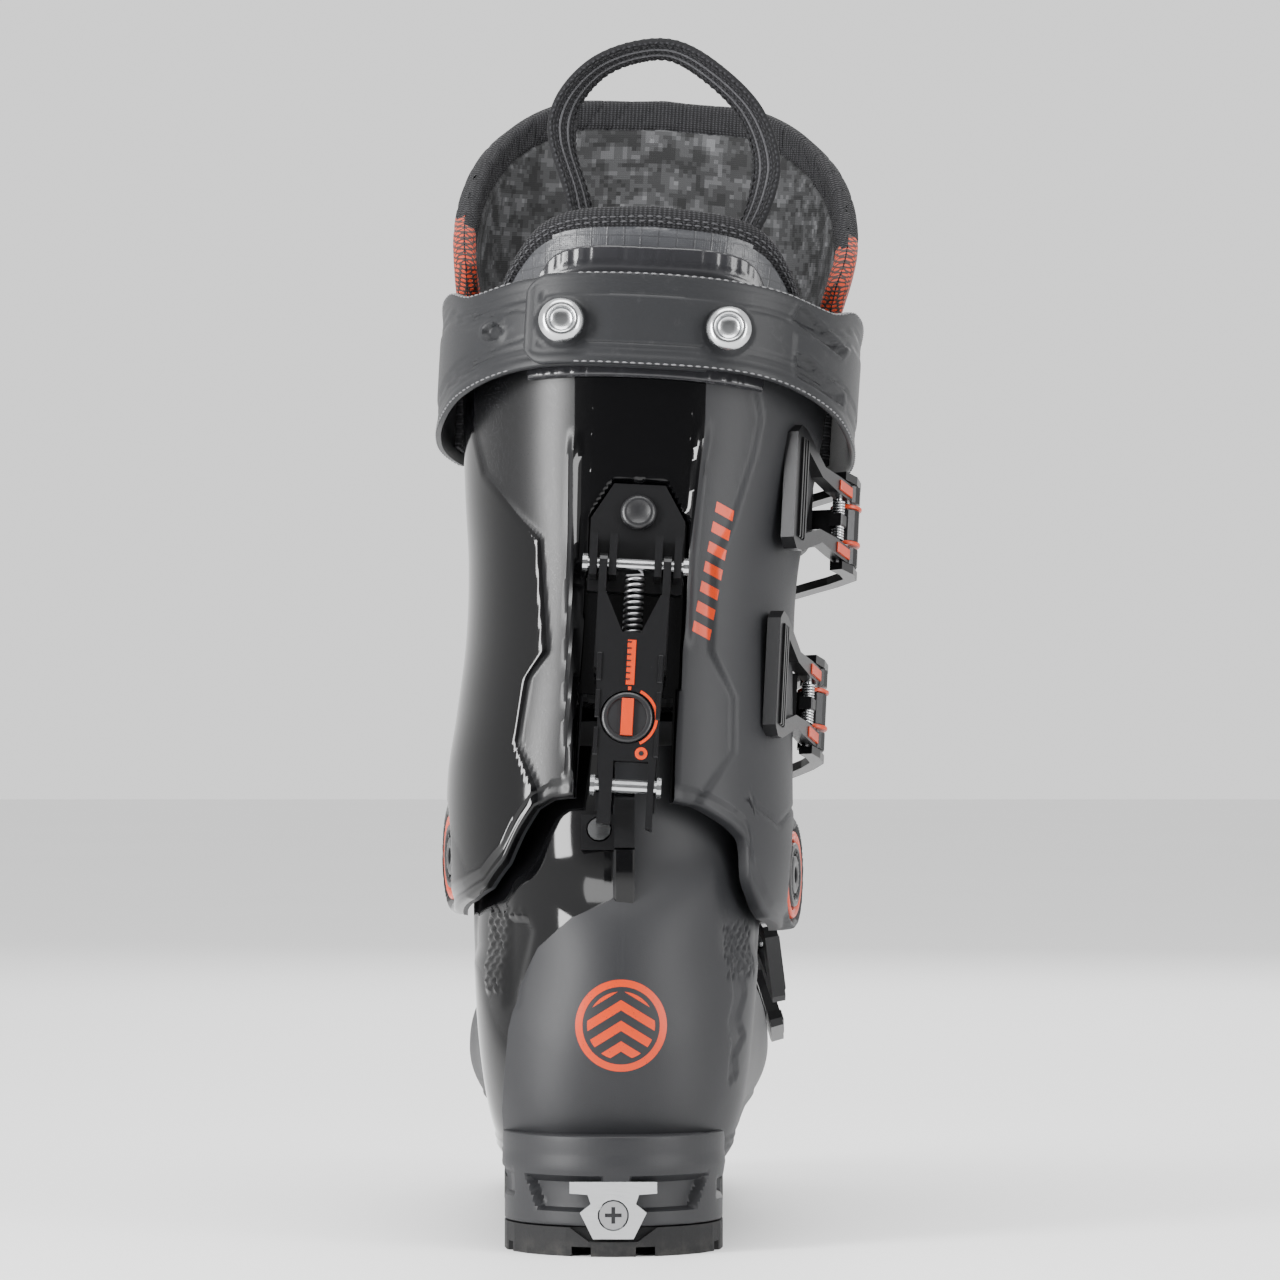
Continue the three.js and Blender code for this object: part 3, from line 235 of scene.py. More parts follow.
def make(name, points, faces, material, body, slot, replaces=(), values=None, uv=None, sharp=38):
    """A finished piece: a mesh from points in millimetres that rides on a body."""
    mesh = bpy.data.meshes.new(name)
    mesh.from_pydata((np.asarray(points, float) * MM).tolist(), [], [list(map(int, f)) for f in faces])
    mesh.validate()
    shell = bmesh.new()
    shell.from_mesh(mesh)
    bmesh.ops.recalc_face_normals(shell, faces=shell.faces)
    shell.to_mesh(mesh)
    shell.free()
    for key, numbers in (values or {}).items():
        attribute = mesh.attributes.new(key, "FLOAT", "POINT")
        attribute.data.foreach_set("value", np.asarray(numbers, np.float32))
    if uv is not None:
        layer = mesh.uv_layers.new(name="cloth")
        corner = np.zeros(len(mesh.loops), int)
        mesh.loops.foreach_get("vertex_index", corner)
        layer.data.foreach_set("uv", np.asarray(uv, np.float32)[corner].ravel())
    mesh.materials.append(material)
    mesh.shade_smooth()
    mesh.set_sharp_from_angle(angle=math.radians(sharp))
    piece = bpy.data.objects.new(name, mesh)
    bpy.context.scene.collection.objects.link(piece)
    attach(piece, body)
    if replaces:
        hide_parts(*replaces)
    return piece


def closed_sheet(outer, inner, skip=8):
    """Points and faces of a closed sheet. Its inner side keeps only every skip-th row."""
    rows, columns = outer.shape[:2]
    kept = np.unique(np.append(np.arange(0, rows, skip), rows - 1))
    points = np.concatenate([outer.reshape(-1, 3), inner[kept].reshape(-1, 3)])
    half = rows * columns
    faces = [*quads(rows, columns), *quads(len(kept), columns, first=half)[:, ::-1]]
    top = half + (len(kept) - 1) * columns
    for j in range(columns - 1):
        faces.append([half + j, half + j + 1, j + 1, j])
        edge = (rows - 1) * columns + j
        faces.append([edge, edge + 1, top + j + 1, top + j])
    for n in range(len(kept) - 1):
        low, high = half + n * columns, half + (n + 1) * columns
        between = np.arange(kept[n], kept[n + 1] + 1) * columns
        faces.append([low, *between, high])
        faces.append([low + columns - 1, high + columns - 1, *(between[::-1] + columns - 1)])
    return points, faces, half


def tube(rings, caps=True):
    """Points and faces of a tube through rings of points."""
    rings = np.asarray(rings, float)
    rows, columns = rings.shape[:2]
    faces = list(quads(rows, columns, wrap=True))
    if caps:
        faces.append(list(range(columns))[::-1])
        faces.append(list(range((rows - 1) * columns, rows * columns)))
    return rings.reshape(-1, 3), faces


def joined(parts):
    """Several (points, faces) as one."""
    points, faces, first = [], [], 0
    for p, f in parts:
        points.append(np.asarray(p, float))
        faces += [[v + first for v in face] for face in f]
        first += len(p)
    return np.concatenate(points), faces


def frames_along(path, up_hint):
    """Unit tangents, widths and normals along a path. The normal leans towards up_hint."""
    tangent = unit(np.gradient(path, axis=0))
    hint = np.broadcast_to(np.asarray(up_hint, float), path.shape)
    width = unit(np.cross(tangent, hint))
    return tangent, width, np.cross(width, tangent)


def sweep(path, section, up_hint, scale=None, caps=True):
    """A section of (width, height) points carried along a path."""
    path = np.asarray(path, float)
    _, width, normal = frames_along(path, up_hint)
    section = np.asarray(section, float)
    size = np.ones(len(path)) if scale is None else np.asarray(scale, float)
    w, h = section[:, 0], section[:, 1]
    rings = path[:, None] + size[:, None, None] * (
        w[None, :, None] * width[:, None] + h[None, :, None] * normal[:, None]
    )
    return tube(rings[:, ::-1], caps)


def round_section(radius, sides=12):
    a = np.arange(sides) * 2 * math.pi / sides
    return np.stack([radius * np.cos(a), radius * np.sin(a)], -1)


def rounded_box_section(half_width, half_height, radius, steps=4):
    corner = np.linspace(0, math.pi / 2, steps + 1)
    points = []
    for turn, (sx, sy) in enumerate([(1, 1), (-1, 1), (-1, -1), (1, -1)]):
        a = corner + turn * math.pi / 2
        cx, cy = sx * (half_width - radius), sy * (half_height - radius)
        points += [(cx + radius * math.cos(t), cy + radius * math.sin(t)) for t in a]
    return points


def even(curve, step):
    """A path's points at an even spacing of about step."""
    arc = np.append(0, np.cumsum(np.linalg.norm(np.diff(curve, axis=0), axis=1)))
    n = max(2, int(round(arc[-1] / step)) + 1)
    along = np.linspace(0, arc[-1], n)
    return np.stack([np.interp(along, arc, curve[:, k]) for k in range(curve.shape[1])], -1)


def smooth_path(points, step=1.0):
    rows = [[i, *p] for i, p in enumerate(points)]
    return even(spline(rows)(np.linspace(0, len(points) - 1, len(points) * 24)), step)


def lathe(profile, origin, axis, sides=48, turn=0.0):
    """A turned body: profile rows are (radius, height along the axis), from axis to axis."""
    axis = unit(axis)
    across = unit(np.cross(axis, [0.0, 0.31, 0.95]))
    other = np.cross(axis, across)
    a = np.arange(sides) * 2 * math.pi / sides + turn
    ring = np.cos(a)[:, None] * across + np.sin(a)[:, None] * other
    rings = [np.asarray(origin) + max(r, 0.01) * ring + h * axis for r, h in profile]
    return tube(np.array(rings))


def slab(outline, origin, x, y, z, thickness, edge=0.25):
    """A flat plate with a softened top edge: outline points lie along x and y, its thickness along z."""
    flat = np.asarray(outline, float)
    centre = flat.mean(axis=0)
    shrunk = centre + (flat - centre) * (1 - edge / np.abs(flat - centre).max())
    rings = []
    for points, height in ((flat, 0), (flat, thickness - edge), (shrunk, thickness)):
        rings.append(np.asarray(origin) + points[:, :1] * x + points[:, 1:] * y + height * np.asarray(z))
    return tube(np.array(rings))


def copies(template, places):
    """One small body at many places: each place is (origin, x, y, z), the template is in local axes."""
    points, faces = template
    parts = []
    for origin, x, y, z in places:
        parts.append((origin + points[:, :1] * x + points[:, 1:2] * y + points[:, 2:] * z, faces))
    return joined(parts)


# ------------------------------------------------------------------ distances, for relief and colour edges
def line_distance(u, v, line):
    """Signed distance in a plane to a polyline: positive on its left."""
    line = np.asarray(line, float)
    best = np.full(np.shape(u), 1e9)
    sign = np.ones(np.shape(u))
    for (ax, ay), (bx, by) in zip(line[:-1], line[1:]):
        dx, dy = bx - ax, by - ay
        t = np.clip(((u - ax) * dx + (v - ay) * dy) / (dx * dx + dy * dy), 0, 1)
        gap = np.hypot(u - ax - t * dx, v - ay - t * dy)
        side = np.sign(dx * (v - ay) - dy * (u - ax))
        nearer = gap < best - 1e-9
        best = np.where(nearer, gap, best)
        sign = np.where(nearer, side, sign)
    return best * np.where(sign == 0, 1, sign)


def outline_distance(u, v, outline):
    """Signed distance in a plane to a closed outline: negative inside."""
    outline = np.asarray(outline, float)
    inside = np.zeros(np.shape(u), bool)
    best = np.full(np.shape(u), 1e9)
    for (ax, ay), (bx, by) in zip(outline, np.roll(outline, -1, axis=0)):
        dx, dy = bx - ax, by - ay
        t = np.clip(((u - ax) * dx + (v - ay) * dy) / (dx * dx + dy * dy), 0, 1)
        best = np.minimum(best, np.hypot(u - ax - t * dx, v - ay - t * dy))
        crosses = (ay > v) != (by > v)
        inside ^= crosses & (u < ax + (v - ay) * dx / (dy if dy else 1e-9))
    return np.where(inside, -best, best)


def groove(distance, half_width, depth):
    return -depth * (1 - smoothstep(0, half_width, np.abs(distance)))


def rounding(distance, radius):
    """How far a surface drops at this distance from its edge, so that the edge is round."""
    gap = np.clip(radius - distance, 0, radius)
    return radius - np.sqrt(radius**2 - gap**2)


def normals_of(surface, u, v, du=0.4, dv=0.4):
    """Outward unit normals of surface(u, v), where u runs round and v runs up."""
    round_it = surface(u + du, v) - surface(u - du, v)
    up_it = surface(u, v + dv) - surface(u, v - dv)
    return unit(np.cross(round_it, up_it))


# ------------------------------------------------------------------ materials
class Shade:
    """A Principled material built node by node. Its inputs take numbers, colours or other nodes' outputs."""

    def __init__(self, name, **constants):
        self.material = bpy.data.materials.new(name)
        self.material.use_nodes = True
        self.tree = self.material.node_tree
        self.bsdf = self.tree.nodes["Principled BSDF"]
        self.set(**constants)
        self.place = self.new("ShaderNodeTexCoord").outputs["Object"]

    def new(self, kind, **settings):
        made = self.tree.nodes.new(kind)
        for key, value in settings.items():
            setattr(made, key, value)
        return made

    def link(self, socket, value):
        if isinstance(value, bpy.types.NodeSocket):
            self.tree.links.new(value, socket)
        elif hasattr(value, "__len__") and len(value) == 3 and len(socket.default_value) == 4:
            socket.default_value = (*value, 1)
        else:
            socket.default_value = value

    def set(self, **inputs):
        for key, value in inputs.items():
            self.link(self.bsdf.inputs[key.replace("_", " ").title().replace("Ior", "IOR")], value)
        return self

    def math(self, operation, a, b=0.0, clamp=False):
        made = self.new("ShaderNodeMath", operation=operation, use_clamp=clamp)
        self.link(made.inputs[0], a)
        self.link(made.inputs[1], b)
        return made.outputs[0]

    def mix(self, factor, a, b):
        made = self.new("ShaderNodeMix", data_type="RGBA")
        self.link(made.inputs["Factor"], factor)
        self.link(made.inputs[6], a)
        self.link(made.inputs[7], b)
        return made.outputs[2]

    def blend(self, factor, a, b):
        made = self.new("ShaderNodeMix", data_type="FLOAT")
        self.link(made.inputs["Factor"], factor)
        self.link(made.inputs[2], a)
        self.link(made.inputs[3], b)
        return made.outputs[0]

    def step(self, value, low, high):
        made = self.new("ShaderNodeMapRange", interpolation_type="SMOOTHSTEP")
        self.link(made.inputs["Value"], value)
        self.link(made.inputs["From Min"], low)
        self.link(made.inputs["From Max"], high)
        return made.outputs[0]

    def noise(self, scale, detail=3.0, roughness=0.5, at=None):
        made = self.new("ShaderNodeTexNoise")
        self.link(made.inputs["Vector"], at or self.place)
        self.link(made.inputs["Scale"], scale)
        self.link(made.inputs["Detail"], detail)
        self.link(made.inputs["Roughness"], roughness)
        return made.outputs[0]

    def cells(self, scale, at=None, feature="F1", output="Distance", metric="EUCLIDEAN"):
        made = self.new("ShaderNodeTexVoronoi", feature=feature)
        if feature == "F1":
            made.distance = metric
        self.link(made.inputs["Vector"], at or self.place)
        self.link(made.inputs["Scale"], scale)
        return made.outputs[output]

    def value(self, name):
        return self.new("ShaderNodeAttribute", attribute_name=name).outputs["Fac"]

    def axes(self, vector=None):
        made = self.new("ShaderNodeSeparateXYZ")
        self.link(made.inputs[0], vector or self.place)
        return made.outputs

    def cloth(self):
        """Places along and across a cloth, in millimetres."""
        uv = self.new("ShaderNodeUVMap", uv_map="cloth").outputs[0]
        return self.axes(uv)[0], self.axes(uv)[1], uv

    def scaled(self, vector, x, y, z=1.0):
        made = self.new("ShaderNodeVectorMath", operation="MULTIPLY")
        self.link(made.inputs[0], vector)
        made.inputs[1].default_value = (x, y, z)
        return made.outputs[0]

    def bump(self, height, distance, strength=1.0, under=None):
        made = self.new("ShaderNodeBump")
        self.link(made.inputs["Height"], height)
        made.inputs["Distance"].default_value = distance * MM
        made.inputs["Strength"].default_value = strength
        if under is not None:
            self.link(made.inputs["Normal"], under)
        return made.outputs[0]

    def wave(self, along, period):
        """0 to 1 and back once each period."""
        turned = self.math("MULTIPLY", along, 2 * math.pi / period)
        return self.math("ADD", self.math("MULTIPLY", self.math("SINE", turned), 0.5), 0.5)


CHARCOAL = (0.0125, 0.0128, 0.0145)
GLOSS_BLACK = (0.0022, 0.0022, 0.0025)
ORANGE = (0.50, 0.034, 0.0006)


def moulded_plastic(name, emblem=False, dashes=False):
    """Charcoal matte plastic where the value gloss is under 0, polished black above, flaked where flake is."""
    s = Shade(name, ior=1.46)
    s.bsdf.inputs["Specular IOR Level"].default_value = 0.42
    glossy = s.step(s.value("gloss"), -0.25, 0.25)
    flaked = s.step(s.value("flake"), -0.3, 0.3)
    tone = s.noise(55, 4, 0.6)
    grain = s.noise(2600, 2, 0.7)
    wear = s.step(s.noise(420, 6, 0.75), 0.62, 0.78)
    matte = s.mix(tone, [c * 0.86 for c in CHARCOAL], [c * 1.16 for c in CHARCOAL])
    matte = s.mix(s.math("MULTIPLY", wear, 0.25), matte, (0.026, 0.027, 0.030))
    sparkle = s.step(s.cells(1500, output="Distance"), 0.34, 0.08)
    flake = s.mix(s.math("MULTIPLY", sparkle, 0.55), (0.003, 0.003, 0.0035), (0.03, 0.031, 0.034))
    colour = s.mix(glossy, matte, s.mix(flaked, GLOSS_BLACK, flake))
    rough_matte = s.blend(grain, 0.44, 0.58)
    rough_gloss = s.blend(flaked, s.blend(s.noise(38, 4), 0.045, 0.10), s.blend(sparkle, 0.34, 0.22))
    rough = s.blend(glossy, rough_matte, rough_gloss)
    painted = None
    x, y, z = s.axes()
    if emblem:
        dx = s.math("MULTIPLY", s.math("SUBTRACT", x, 2.4 * MM), 1000)
        dz = s.math("MULTIPLY", s.math("SUBTRACT", z, 71.5 * MM), 1000)
        radius = s.math("SQRT", s.math("ADD", s.math("MULTIPLY", dx, dx), s.math("MULTIPLY", dz, dz)))
        ring = s.math("LESS_THAN", s.math("ABSOLUTE", s.math("SUBTRACT", radius, 13.2)), 1.1)
        folded = s.math("ADD", dz, s.math("MULTIPLY", s.math("ABSOLUTE", dx), 0.62))
        stripe = s.math("LESS_THAN", s.math("FRACT", s.math("DIVIDE", s.math("ADD", folded, 40), 6.4)), 0.5)
        inside = s.math("LESS_THAN", radius, 10.6)
        painted = s.math("MAXIMUM", ring, s.math("MULTIPLY", stripe, inside))
        painted = s.math("MULTIPLY", painted, s.math("LESS_THAN", y, 0))
    if dashes:
        top, foot = np.array([35.6, 234.5]), np.array([27.0, 190.0])
        run = foot - top
        length = np.linalg.norm(run)
        run = run / length
        dx = s.math("MULTIPLY", s.math("SUBTRACT", x, top[0] * MM), 1000)
        dz = s.math("MULTIPLY", s.math("SUBTRACT", z, top[1] * MM), 1000)
        along = s.math("ADD", s.math("MULTIPLY", dx, run[0]), s.math("MULTIPLY", dz, run[1]))
        across = s.math("SUBTRACT", s.math("MULTIPLY", dx, run[1]), s.math("MULTIPLY", dz, run[0]))
        slanted = s.math("DIVIDE", s.math("ADD", along, s.math("MULTIPLY", across, 0.32)), 6.45)
        painted = s.math("LESS_THAN", s.math("FRACT", s.math("ADD", slanted, 4)), 0.52)
        for limit in (
            s.math("LESS_THAN", s.math("ABSOLUTE", across), 3.0),
            s.math("GREATER_THAN", slanted, 0),
            s.math("LESS_THAN", slanted, 7),
            s.math("LESS_THAN", y, 0.05),
        ):
            painted = s.math("MULTIPLY", painted, limit)
    if painted is not None:
        fleck = s.step(s.noise(1900, 3, 0.7), 0.30, 0.36)
        painted = s.math("MULTIPLY", painted, fleck)
        colour = s.mix(painted, colour, ORANGE)
        rough = s.blend(painted, rough, 0.36)
    height = s.blend(glossy, s.math("MULTIPLY", grain, 1.0), s.math("MULTIPLY", s.noise(130, 2), 0.35))
    if painted is not None:
        height = s.math("ADD", height, s.math("MULTIPLY", painted, 0.8))
    s.set(base_color=colour, roughness=rough, normal=s.bump(height, 0.045, 0.8))
    return s.material


def satin_plastic(name, colour, roughness=0.4, fleck=1.35):
    s = Shade(name, ior=1.49)
    tone = s.noise(90, 4, 0.6)
    grain = s.noise(2200, 3, 0.6)
    s.set(
        base_color=s.mix(tone, [c * 0.8 for c in colour], [c * fleck for c in colour]),
        roughness=s.blend(grain, roughness - 0.05, roughness + 0.08),
        normal=s.bump(grain, 0.03, 0.6),
    )
    return s.material


def strap_rubber():
    s = Shade("strap_rubber_black", ior=1.45)
    s.bsdf.inputs["Specular IOR Level"].default_value = 0.3
    grain = s.noise(1500, 3, 0.65)
    scuff = s.step(s.noise(190, 6, 0.7), 0.55, 0.8)
    colour = s.mix(scuff, (0.016, 0.0165, 0.018), (0.032, 0.032, 0.034))
    s.set(base_color=colour, roughness=s.blend(grain, 0.36, 0.5), normal=s.bump(grain, 0.05, 0.7))
    return s.material


def sole_rubber():
    s = Shade("sole_rubber_black", ior=1.45)
    s.bsdf.inputs["Specular IOR Level"].default_value = 0.3
    _, _, z = s.axes()
    grain = s.noise(1300, 4, 0.7)
    dust = s.math("MULTIPLY", s.step(z, 0.007, 0.0), s.step(s.noise(210, 6, 0.7), 0.4, 0.7))
    colour = s.mix(s.math("MULTIPLY", dust, 0.3), (0.011, 0.011, 0.0115), (0.075, 0.07, 0.063))
    s.set(base_color=colour, roughness=s.blend(grain, 0.6, 0.82), normal=s.bump(grain, 0.12, 0.8))
    return s.material


def steel(name="polished_steel", roughness=0.16, tint=(0.62, 0.63, 0.64)):
    s = Shade(name, metallic=1.0)
    brushed = s.noise(1, 4, 0.6, at=s.scaled(s.place, 260, 2600, 2600))
    smear = s.noise(140, 4, 0.6)
    s.set(
        base_color=s.mix(smear, [c * 0.85 for c in tint], tint),
        roughness=s.blend(brushed, roughness, roughness + 0.14),
        normal=s.bump(brushed, 0.012, 0.5),
    )
    return s.material


def black_metal(name="black_anodised_metal", roughness=0.3):
    s = Shade(name, metallic=0.55, ior=1.6)
    pitted = s.noise(1700, 3, 0.6)
    wear = s.step(s.noise(330, 6, 0.75), 0.66, 0.8)
    s.set(
        base_color=s.mix(wear, (0.011, 0.011, 0.012), (0.05, 0.05, 0.052)),
        roughness=s.blend(pitted, roughness - 0.05, roughness + 0.1),
        normal=s.bump(pitted, 0.03, 0.7),
    )
    return s.material


def webbing(name="webbing_black", colour=(0.008, 0.008, 0.009), pitch=1.1):
    """Woven tape: twill cells along and across the cloth."""
    s = Shade(name, sheen_weight=0.04, sheen_roughness=0.4)
    s.bsdf.inputs["Specular IOR Level"].default_value = 0.2
    u, v, _ = s.cloth()
    row = s.math("FLOOR", s.math("DIVIDE", v, pitch))
    shifted = s.math("ADD", u, s.math("MULTIPLY", row, pitch * 0.5))
    thread = s.math("MULTIPLY", s.wave(shifted, pitch * 1.6), s.wave(v, pitch))
    fuzz = s.noise(2400, 3, 0.7)
    height = s.math("ADD", thread, s.math("MULTIPLY", fuzz, 0.35))
    # painted highlight and shade: the colour follows the thread relief, lighter on the thread crowns and darker in the
    # hollows between threads
    tone = s.mix(thread, colour, [c * 3.2 + 0.006 for c in colour])
    s.set(base_color=tone, roughness=0.78, normal=s.bump(height, 0.28, 1.0))
    return s.material


def ripstop():
    """Shiny grey lining cloth with a raised square grid."""
    s = Shade("ripstop_grey", sheen_weight=0.03, ior=1.5)
    u, v, _ = s.cloth()
    grid = s.math("MAXIMUM", s.step(s.wave(u, 4.6), 0.94, 0.99), s.step(s.wave(v, 4.6), 0.94, 0.99))
    weave = s.math("MULTIPLY", s.wave(u, 0.62), s.wave(v, 0.62))
    crinkle = s.noise(120, 5, 0.6)
    colour = s.mix(grid, (0.036, 0.037, 0.041), (0.020, 0.0205, 0.023))
    height = s.math("ADD", s.math("MULTIPLY", weave, 0.4), s.math("MULTIPLY", grid, 0.8))
    fine = s.bump(height, 0.07, 0.8)
    s.set(
        # painted sheen: the colour turns lighter where the crinkle bump rises, on top of the grid colour
        base_color=s.mix(s.math("MULTIPLY", crinkle, 0.5), colour, (0.070, 0.072, 0.078)),
        roughness=s.blend(crinkle, 0.24, 0.4),
        normal=s.bump(crinkle, 0.9, 0.55, under=fine),
    )
    return s.material


def knit(name="ribbed_knit_black", colour=(0.010, 0.010, 0.011)):
    s = Shade(name, sheen_weight=0.04, sheen_roughness=0.5)
    s.bsdf.inputs["Specular IOR Level"].default_value = 0.15
    u, v, _ = s.cloth()
    rib = s.wave(u, 1.25)
    loop = s.wave(v, 0.8)
    height = s.math("ADD", rib, s.math("MULTIPLY", loop, 0.5))
    # painted highlight and shade: the colour follows the rib and loop relief, lighter on the crowns and darker in the
    # grooves
    tone = s.mix(s.math("MULTIPLY", rib, loop), colour, [c * 3 + 0.008 for c in colour])
    s.set(base_color=tone, roughness=0.85, normal=s.bump(height, 0.3, 1.0))
    return s.material


def camouflage():
    """Grey cloth printed with square blots, as digital camouflage has."""
    s = Shade("camouflage_grey", sheen_weight=0.04, sheen_roughness=0.5)
    s.bsdf.inputs["Specular IOR Level"].default_value = 0.2
    _, _, uv = s.cloth()
    snapped = s.new("ShaderNodeVectorMath", operation="SNAP")
    s.link(snapped.inputs[0], uv)
    snapped.inputs[1].default_value = (1.5, 1.5, 1.5)
    blocks = snapped.outputs[0]
    large = s.noise(0.12, 3, 0.62, at=blocks)
    small = s.noise(0.21, 3, 0.7, at=s.scaled(blocks, 1, 1, 1))
    field = s.math("ADD", s.math("MULTIPLY", large, 0.7), s.math("MULTIPLY", small, 0.3))
    ramp = s.new("ShaderNodeValToRGB")
    ramp.color_ramp.interpolation = "CONSTANT"
    stops = [(0.0, 0.012), (0.45, 0.022), (0.50, 0.038), (0.56, 0.064), (0.62, 0.10)]
    elements = ramp.color_ramp.elements
    for n, (at, grey) in enumerate(stops):
        element = elements[n] if n < 2 else elements.new(at)
        element.position = at
        element.color = (grey, grey * 1.01, grey * 1.05, 1)
    s.link(ramp.inputs[0], field)
    u, v, _ = s.cloth()
    weave = s.math("MULTIPLY", s.wave(u, 0.7), s.wave(v, 0.7))
    soft = s.noise(60, 4, 0.6)
    s.set(
        base_color=ramp.outputs[0],
        roughness=s.blend(soft, 0.62, 0.8),
        normal=s.bump(soft, 0.8, 0.5, under=s.bump(weave, 0.08, 0.9)),
    )
    return s.material


def open_mesh():
    """Orange cloth under a black net of hexagons."""
    s = Shade("orange_mesh", sheen_weight=0.1)
    u, v, _ = s.cloth()
    row = s.math("FLOOR", s.math("DIVIDE", v, 1.5))
    shift = s.math("ADD", u, s.math("MULTIPLY", s.math("MODULO", row, 2.0), 0.95))
    cell_u = s.math("SUBTRACT", s.math("FRACT", s.math("DIVIDE", shift, 1.9)), 0.5)
    cell_v = s.math("SUBTRACT", s.math("FRACT", s.math("DIVIDE", v, 1.5)), 0.5)
    far = s.math("SQRT", s.math("ADD", s.math("MULTIPLY", cell_u, cell_u), s.math("MULTIPLY", cell_v, cell_v)))
    hole = s.step(far, 0.40, 0.30)
    s.set(
        base_color=s.mix(hole, (0.03, 0.012, 0.008), ORANGE),
        roughness=0.7,
        normal=s.bump(hole, -0.25, 1.0),
    )
    return s.material


def fleece(name, colour):
    s = Shade(name, sheen_weight=0.06, sheen_roughness=0.6)
    s.bsdf.inputs["Specular IOR Level"].default_value = 0.15
    nap = s.noise(1500, 5, 0.75)
    patch = s.noise(70, 3)
    height = s.math("ADD", nap, s.math("MULTIPLY", patch, 1.2))
    s.set(
        base_color=s.mix(nap, [c * 0.6 for c in colour], [c * 1.5 for c in colour]),
        roughness=0.92,
        normal=s.bump(height, 0.35, 0.9),
    )
    return s.material


SHELL_PLASTIC = moulded_plastic("shell_plastic", emblem=True)
CUFF_PLASTIC = moulded_plastic("cuff_plastic", dashes=True)
BLACK_PLASTIC = satin_plastic("black_satin_plastic", (0.010, 0.010, 0.011), 0.34)
SPOILER_PLASTIC = satin_plastic("spoiler_plastic", (0.017, 0.017, 0.019), 0.16)
ORANGE_PLASTIC = satin_plastic("orange_plastic", ORANGE, 0.36, 1.08)
STRAP_RUBBER = strap_rubber()
SOLE_RUBBER = sole_rubber()
STEEL = steel()
DULL_STEEL = steel("satin_steel", 0.3, (0.42, 0.42, 0.43))
BLACK_METAL = black_metal()
WEBBING = webbing()
RIPSTOP = ripstop()
KNIT = knit()
CAMOUFLAGE = camouflage()
MESH_CLOTH = open_mesh()
THREAD = fleece("thread_grey", (0.16, 0.16, 0.165))
LINING = fleece("lining_black", (0.012, 0.012, 0.013))
FELT = fleece("footbed_felt", (0.03, 0.031, 0.034))


# ------------------------------------------------------------------ metal and small CAD nodes
def dress(node, material, edge=0.3, segments=2, smooth=34):
    """Gives a CAD node its material and, by modifiers, softened edges."""
    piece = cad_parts[node]
    piece.data.materials.clear()
    piece.data.materials.append(material)
    piece.data.shade_smooth()
    piece.data.set_sharp_from_angle(angle=math.radians(smooth))
    if edge:
        bevel = piece.modifiers.new("soft_edges", "BEVEL")
        bevel.width = edge * MM
        bevel.segments = segments
        bevel.limit_method = "ANGLE"
        bevel.angle_limit = math.radians(smooth)
        bevel.harden_normals = True
    return piece


for node in (
    "lock_block_screw", "heel_left_sole_screw", "heel_right_sole_screw", "toe_left_sole_screw",
    "toe_right_sole_screw", "toe_insert", "inner_pivot_bolt", "outer_pivot_bolt", "walk_hinge_pin",
    "walk_cross_pin",
):
    dress(node, STEEL, 0.2)
dress("heel_insert", STEEL, 0.35)
dress("heel_insert_screw", DULL_STEEL, 0.15)
dress("boot_board", BLACK_PLASTIC, 0.5)
for node in ("lock_block", "walk_bracket"):
    dress(node, BLACK_METAL, 0.35)
dress("walk_lever", BLACK_METAL, 0.45, 3)
for node in ("heel_sole_pad", "toe_sole_pad"):
    dress(node, SOLE_RUBBER, 0.7, 3)
for buckle in ("upper", "lower", "instep", "toe"):
    dress(buckle + "_lever_pin", STEEL, 0.15)
    dress(buckle + "_lever", BLACK_METAL, 0.5, 3)
    dress(buckle + "_buckle_base", BLACK_METAL, 0.35)
    dress(buckle + "_bail", BLACK_METAL, 0.4)
    dress(buckle + "_ladder", BLACK_METAL, 0.3)


# ------------------------------------------------------------------ relief on the back, in millimetres of world x and z
MEDIAL_PANEL = [
    (-47.9, 276), (-45.3, 261.2), (-41.2, 245.4), (-29.9, 231.2), (-23.2, 224), (-21, 188),
    (-27, 179.5), (-30.2, 159.3), (-24.2, 145.1), (-24.2, 130),
]
LATERAL_PANEL = [
    (44.3, 276), (46.8, 262.5), (44.3, 250.8), (37, 228.1), (32, 216.7), (30.7, 188),
    (37.6, 173.8), (37.6, 156.5), (25.3, 138.5),
]
MEDIAL_FIN = [(-12.5, 258), (-13.5, 146.4)]
LATERAL_FIN = [(29.1, 262.5), (26.5, 245.1), (23.4, 217.4), (22.4, 190)]
CUFF_GLOSS = [
    (29.8, 290), (29.1, 262.5), (26.9, 245.1), (23.4, 217.4), (22.8, 202.5), (19.7, 159.3),
    (19, 141.3), (18.4, 131.9), (18.4, 80),
]
CHECK_MARK = [(41.7, 141.3), (51.8, 132.8), (58.5, 139.4)]
SHELL_GLOSS = [
    (-0.1, 140), (-0.1, 110.8), (-13.5, 104.5), (-23.8, 95.2), (-30, 82.7), (-33.1, 69.3),
    (-34.7, 52.5), (-35.3, 43.2), (-34.4, 30), (-34.4, 5),
]
SIDE_RECESS = [(-33.1, 77.4), (-31.5, 77.4), (-26.6, 100), (-28, 103), (-32.5, 103)]
LATERAL_CARVING = [
    (36.3, 52.5), (39.2, 54.5), (38.4, 61), (41.6, 66), (39.6, 72), (42, 80), (40.4, 91.1), (37.4, 88),
    (38.2, 79), (36.2, 71), (37.6, 64), (36.6, 58),
]


def raised(distance, height, softness=0.7):
    """A step up to height where distance is positive."""
    return height * smoothstep(-softness, softness, distance)


